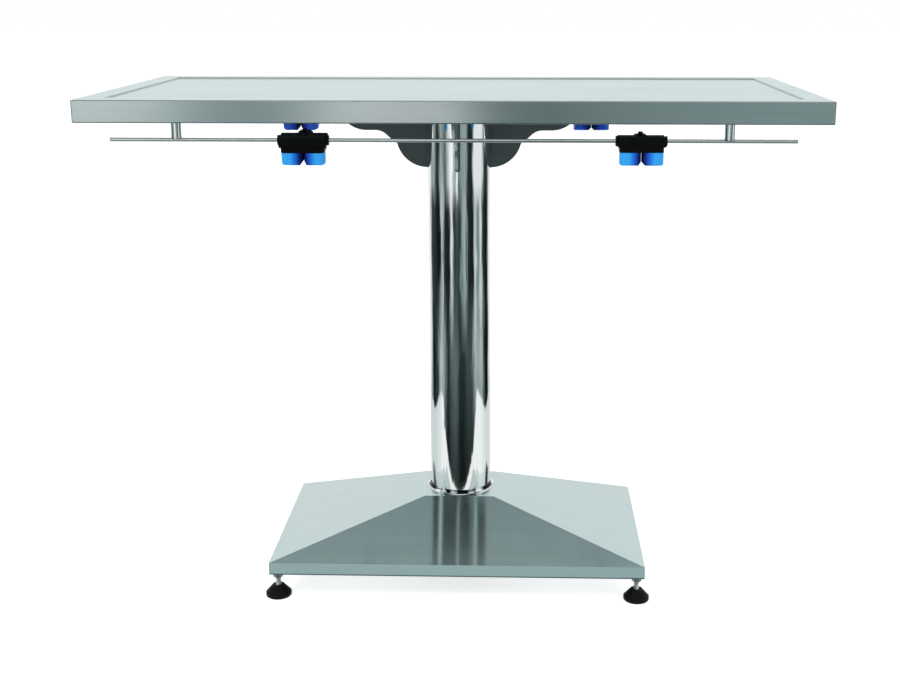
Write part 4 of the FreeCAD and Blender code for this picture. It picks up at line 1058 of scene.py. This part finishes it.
for corner in CORNERS:
    hub = middle(corner + "_sleeve")
    inward = 1 if hub.y < 0 else -1
    lean = math.radians(LEAN[corner]) * inward
    x, y, z = PIVOT_AT
    pivots = [on_cleat(hub, inward, lean, (side * x, y, z)) for side in (-1, 1)]
    screws = grow(f"{corner}_pivot_screws", screw_tree, pivots, bright_zinc, Length=0.0288,
                  Tilt=lean)
    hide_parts(f"{corner}_cam_screws")
    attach(screws, "cleat_" + corner)
    clamp = grow(f"{corner}_clamp_screw", screw_tree, [on_cleat(hub, inward, lean, CLAMP_AT)],
                 black_screw, Head=0.0042, Height=0.0039, Dome=0.002, Socket=0.0015, Shank=0.0025,
                 Length=0.0166, Tilt=lean + math.pi)
    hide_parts(f"{corner}_lock_screw")
    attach(clamp, "lock_" + corner)

# %% [markdown]
# ## Hardware: threaded studs
# The levelling studs are 3/8 inch rod with 16 threads to the inch. A plain cylinder cut into many
# rings takes the thread from one formula: a point's height less its angle round the axis says how
# far it is through a turn, and that sets its radius. The ends taper, as a cut thread does.

# %% Thread tree
THREAD_PITCH = 0.0254 / 16
FLAT_ROOT = 0.85       # share of the depth at which the groove's floor is flat
TAPER_START = 0.78     # radius at the very end, as a share of the full one


def threaded_rod(tree, inputs):
    """A finely cut cylinder bent into a thread, on each start point."""
    full, length = inputs["Radius"], inputs["Length"]
    rod = add_node(tree, "GeometryNodeMeshCylinder", {
        "Vertices": 30, "Side Segments": 240, "Radius": full, "Depth": length})
    x, y, z = split_axes(tree, add_node(tree, "GeometryNodeInputPosition").outputs[0])
    turns = math_node(tree, "DIVIDE", z, inputs["Pitch"])
    angle = math_node(tree, "DIVIDE", math_node(tree, "ARCTAN2", y, x), 2 * math.pi)
    phase = math_node(tree, "PINGPONG", math_node(tree, "SUBTRACT", turns, angle), 0.5)
    groove = math_node(tree, "MINIMUM", math_node(tree, "MULTIPLY", phase, 2.0), FLAT_ROOT)
    radius = math_node(tree, "SUBTRACT", full, math_node(
        tree, "MULTIPLY", groove, inputs["Depth"]))
    from_end = math_node(tree, "SUBTRACT", math_node(tree, "MULTIPLY", length, 0.5),
                         math_node(tree, "ABSOLUTE", z))
    taper = math_node(tree, "ADD", math_node(tree, "MULTIPLY", full, TAPER_START), from_end)
    share = math_node(tree, "DIVIDE", math_node(tree, "MINIMUM", radius, taper), full)
    spot = join_axes(tree, math_node(tree, "MULTIPLY", x, share),
                     math_node(tree, "MULTIPLY", y, share), z)
    cut = add_node(tree, "GeometryNodeSetPosition", {
        "Geometry": rod.outputs["Mesh"], "Position": spot})
    return add_node(tree, "GeometryNodeInstanceOnPoints", {
        "Points": inputs["Geometry"], "Instance": cut.outputs[0]}).outputs[0]


thread_tree = new_tree("threaded_rod", {
    "Radius": 0.00476, "Length": 0.0527, "Pitch": THREAD_PITCH, "Depth": 0.0008}, threaded_rod)

# %% Threaded studs
for corner in CORNERS:
    low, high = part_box("foot_stud_" + corner)
    stud = grow(f"stud_thread_{corner}", thread_tree, [tuple((low + high) / 2)], bright_zinc,
                Length=high.z - low.z)
    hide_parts("foot_stud_" + corner)
    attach(stud, "stud_" + corner)

# %% [markdown]
# ## Hardware: weld beads
# The gussets, the column and the rail posts are welded, and a bead is what joins the plates to the
# eye. A bead follows a line, so a line is all that is modelled: the tree turns it into a curve,
# cuts it into fine steps, swells and narrows its radius as a welder's hand does, and sweeps a
# circle along it. The lower half of that circle lies inside the metal.

# %% Bead tree
BEAD_STEP = 0.0006     # length of a bead's steps
RIPPLE_SHARE = 0.07    # how much of the radius the ripples change
DRIFT_SHARE = 0.4      # and how much the slow drift of the hand does
THINNEST = 0.75


def weld_bead(tree, inputs):
    """A rippled tube along the start edges."""
    line = add_node(tree, "GeometryNodeMeshToCurve", {0: inputs["Geometry"]})
    fine = add_node(tree, "GeometryNodeResampleCurve", {
        "Curve": line.outputs[0], "Length": BEAD_STEP}, mode="LENGTH")
    along = add_node(tree, "GeometryNodeSplineParameter").outputs["Length"]
    wave = math_node(tree, "SINE", math_node(
        tree, "MULTIPLY", math_node(tree, "DIVIDE", along, inputs["Ripple"]), 2 * math.pi))
    drift = add_node(tree, "ShaderNodeTexNoise", {"Scale": 90.0}).outputs["Fac"]
    drift = math_node(tree, "ADD", math_node(tree, "MULTIPLY", drift, DRIFT_SHARE), THINNEST)
    swell = math_node(tree, "ADD", math_node(tree, "MULTIPLY", wave, RIPPLE_SHARE), drift)
    circle = add_node(tree, "GeometryNodeCurvePrimitiveCircle", {"Resolution": 8, "Radius": 1.0})
    return add_node(tree, "GeometryNodeCurveToMesh", {
        "Curve": fine.outputs[0], "Profile Curve": circle.outputs["Curve"],
        "Scale": math_node(tree, "MULTIPLY", swell, inputs["Radius"]),
        "Fill Caps": True}).outputs[0]


bead_tree = new_tree("weld_bead", {"Radius": 0.0022, "Ripple": 0.0024}, weld_bead)

# %% Lines for the beads


def chain(lines):
    """Points and edges of several open or closed lines; a closed one repeats its first point."""
    points, edges = [], []
    for line in lines:
        closed = line[0] == line[-1]
        count = len(line) - 1 if closed else len(line)
        first = len(points)
        points += line[:count]
        edges += [(first + n, first + n + 1) for n in range(count - 1)]
        if closed:
            edges.append((first + count - 1, first))
    return points, edges


def hoop(x, y, z, radius_x, radius_y, steps=36):
    """A closed level ring of points."""
    turns = [2 * math.pi * n / steps for n in range(steps)]
    points = [(x + radius_x * math.cos(t), y + radius_y * math.sin(t), z) for t in turns]
    return points + points[:1]


# %% [markdown]
# ## Hardware: where the beads run
# Two rings join the tube to its plates, a seam runs down each side of every gusset, and short
# tacks hold the gussets to the mount plate; these are painted over. The rail posts have small
# bright beads, round under the top and flat where they meet the rail.

# %% Beads at the column's head and foot
TACKS_AT = (0.075, 0.115, 0.155)      # distances from the column's axis
TACK_LENGTH = 0.022
SEAM_END = 0.001                      # the seam stops this far above the gusset's lower end

tube_low, tube_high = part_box("column_tube")
gusset_low, gusset_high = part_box("gusset_right")
tube, half = tube_high.x, gusset_high.y
foot = gusset_low.z + SEAM_END
lines = [hoop(0, 0, tube_high.z, tube, tube, 72), hoop(0, 0, tube_low.z, tube, tube, 72)]
for quarter in range(4):
    turn = Matrix.Rotation(quarter * math.pi / 2, 3, "Z")
    seam = [(tube, -half, plate_low), (tube, -half, foot), (tube, half, foot),
            (tube, half, plate_low)]
    lines.append([tuple(turn @ Vector(point)) for point in seam])
    for start in TACKS_AT:
        for side in (-half, half):
            lines.append([tuple(turn @ Vector((start + step, side, plate_low)))
                          for step in (0, TACK_LENGTH)])
points, edges = chain(lines)
head_beads = grow("painted_weld_beads", bead_tree, points, charcoal_paint, edges)
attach(head_beads, "table_frame")

# %% Beads at the rail posts
POST_RING = (0.008, 0.008)        # half widths of a bead along X and Y
RAIL_RING = (0.0078, 0.0024)

lines = []
for corner in CORNERS:
    low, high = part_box("rail_post_" + corner)
    at = (low + high) / 2
    lines.append(hoop(at.x, at.y, high.z - 0.0003, *POST_RING))
    lines.append(hoop(at.x, at.y, low.z + 0.0002, *RAIL_RING))
points, edges = chain(lines)
post_beads = grow("bright_weld_beads", bead_tree, points, rod_steel, edges, Radius=0.0011,
                  Ripple=0.0016)
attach(post_beads, "table_frame")
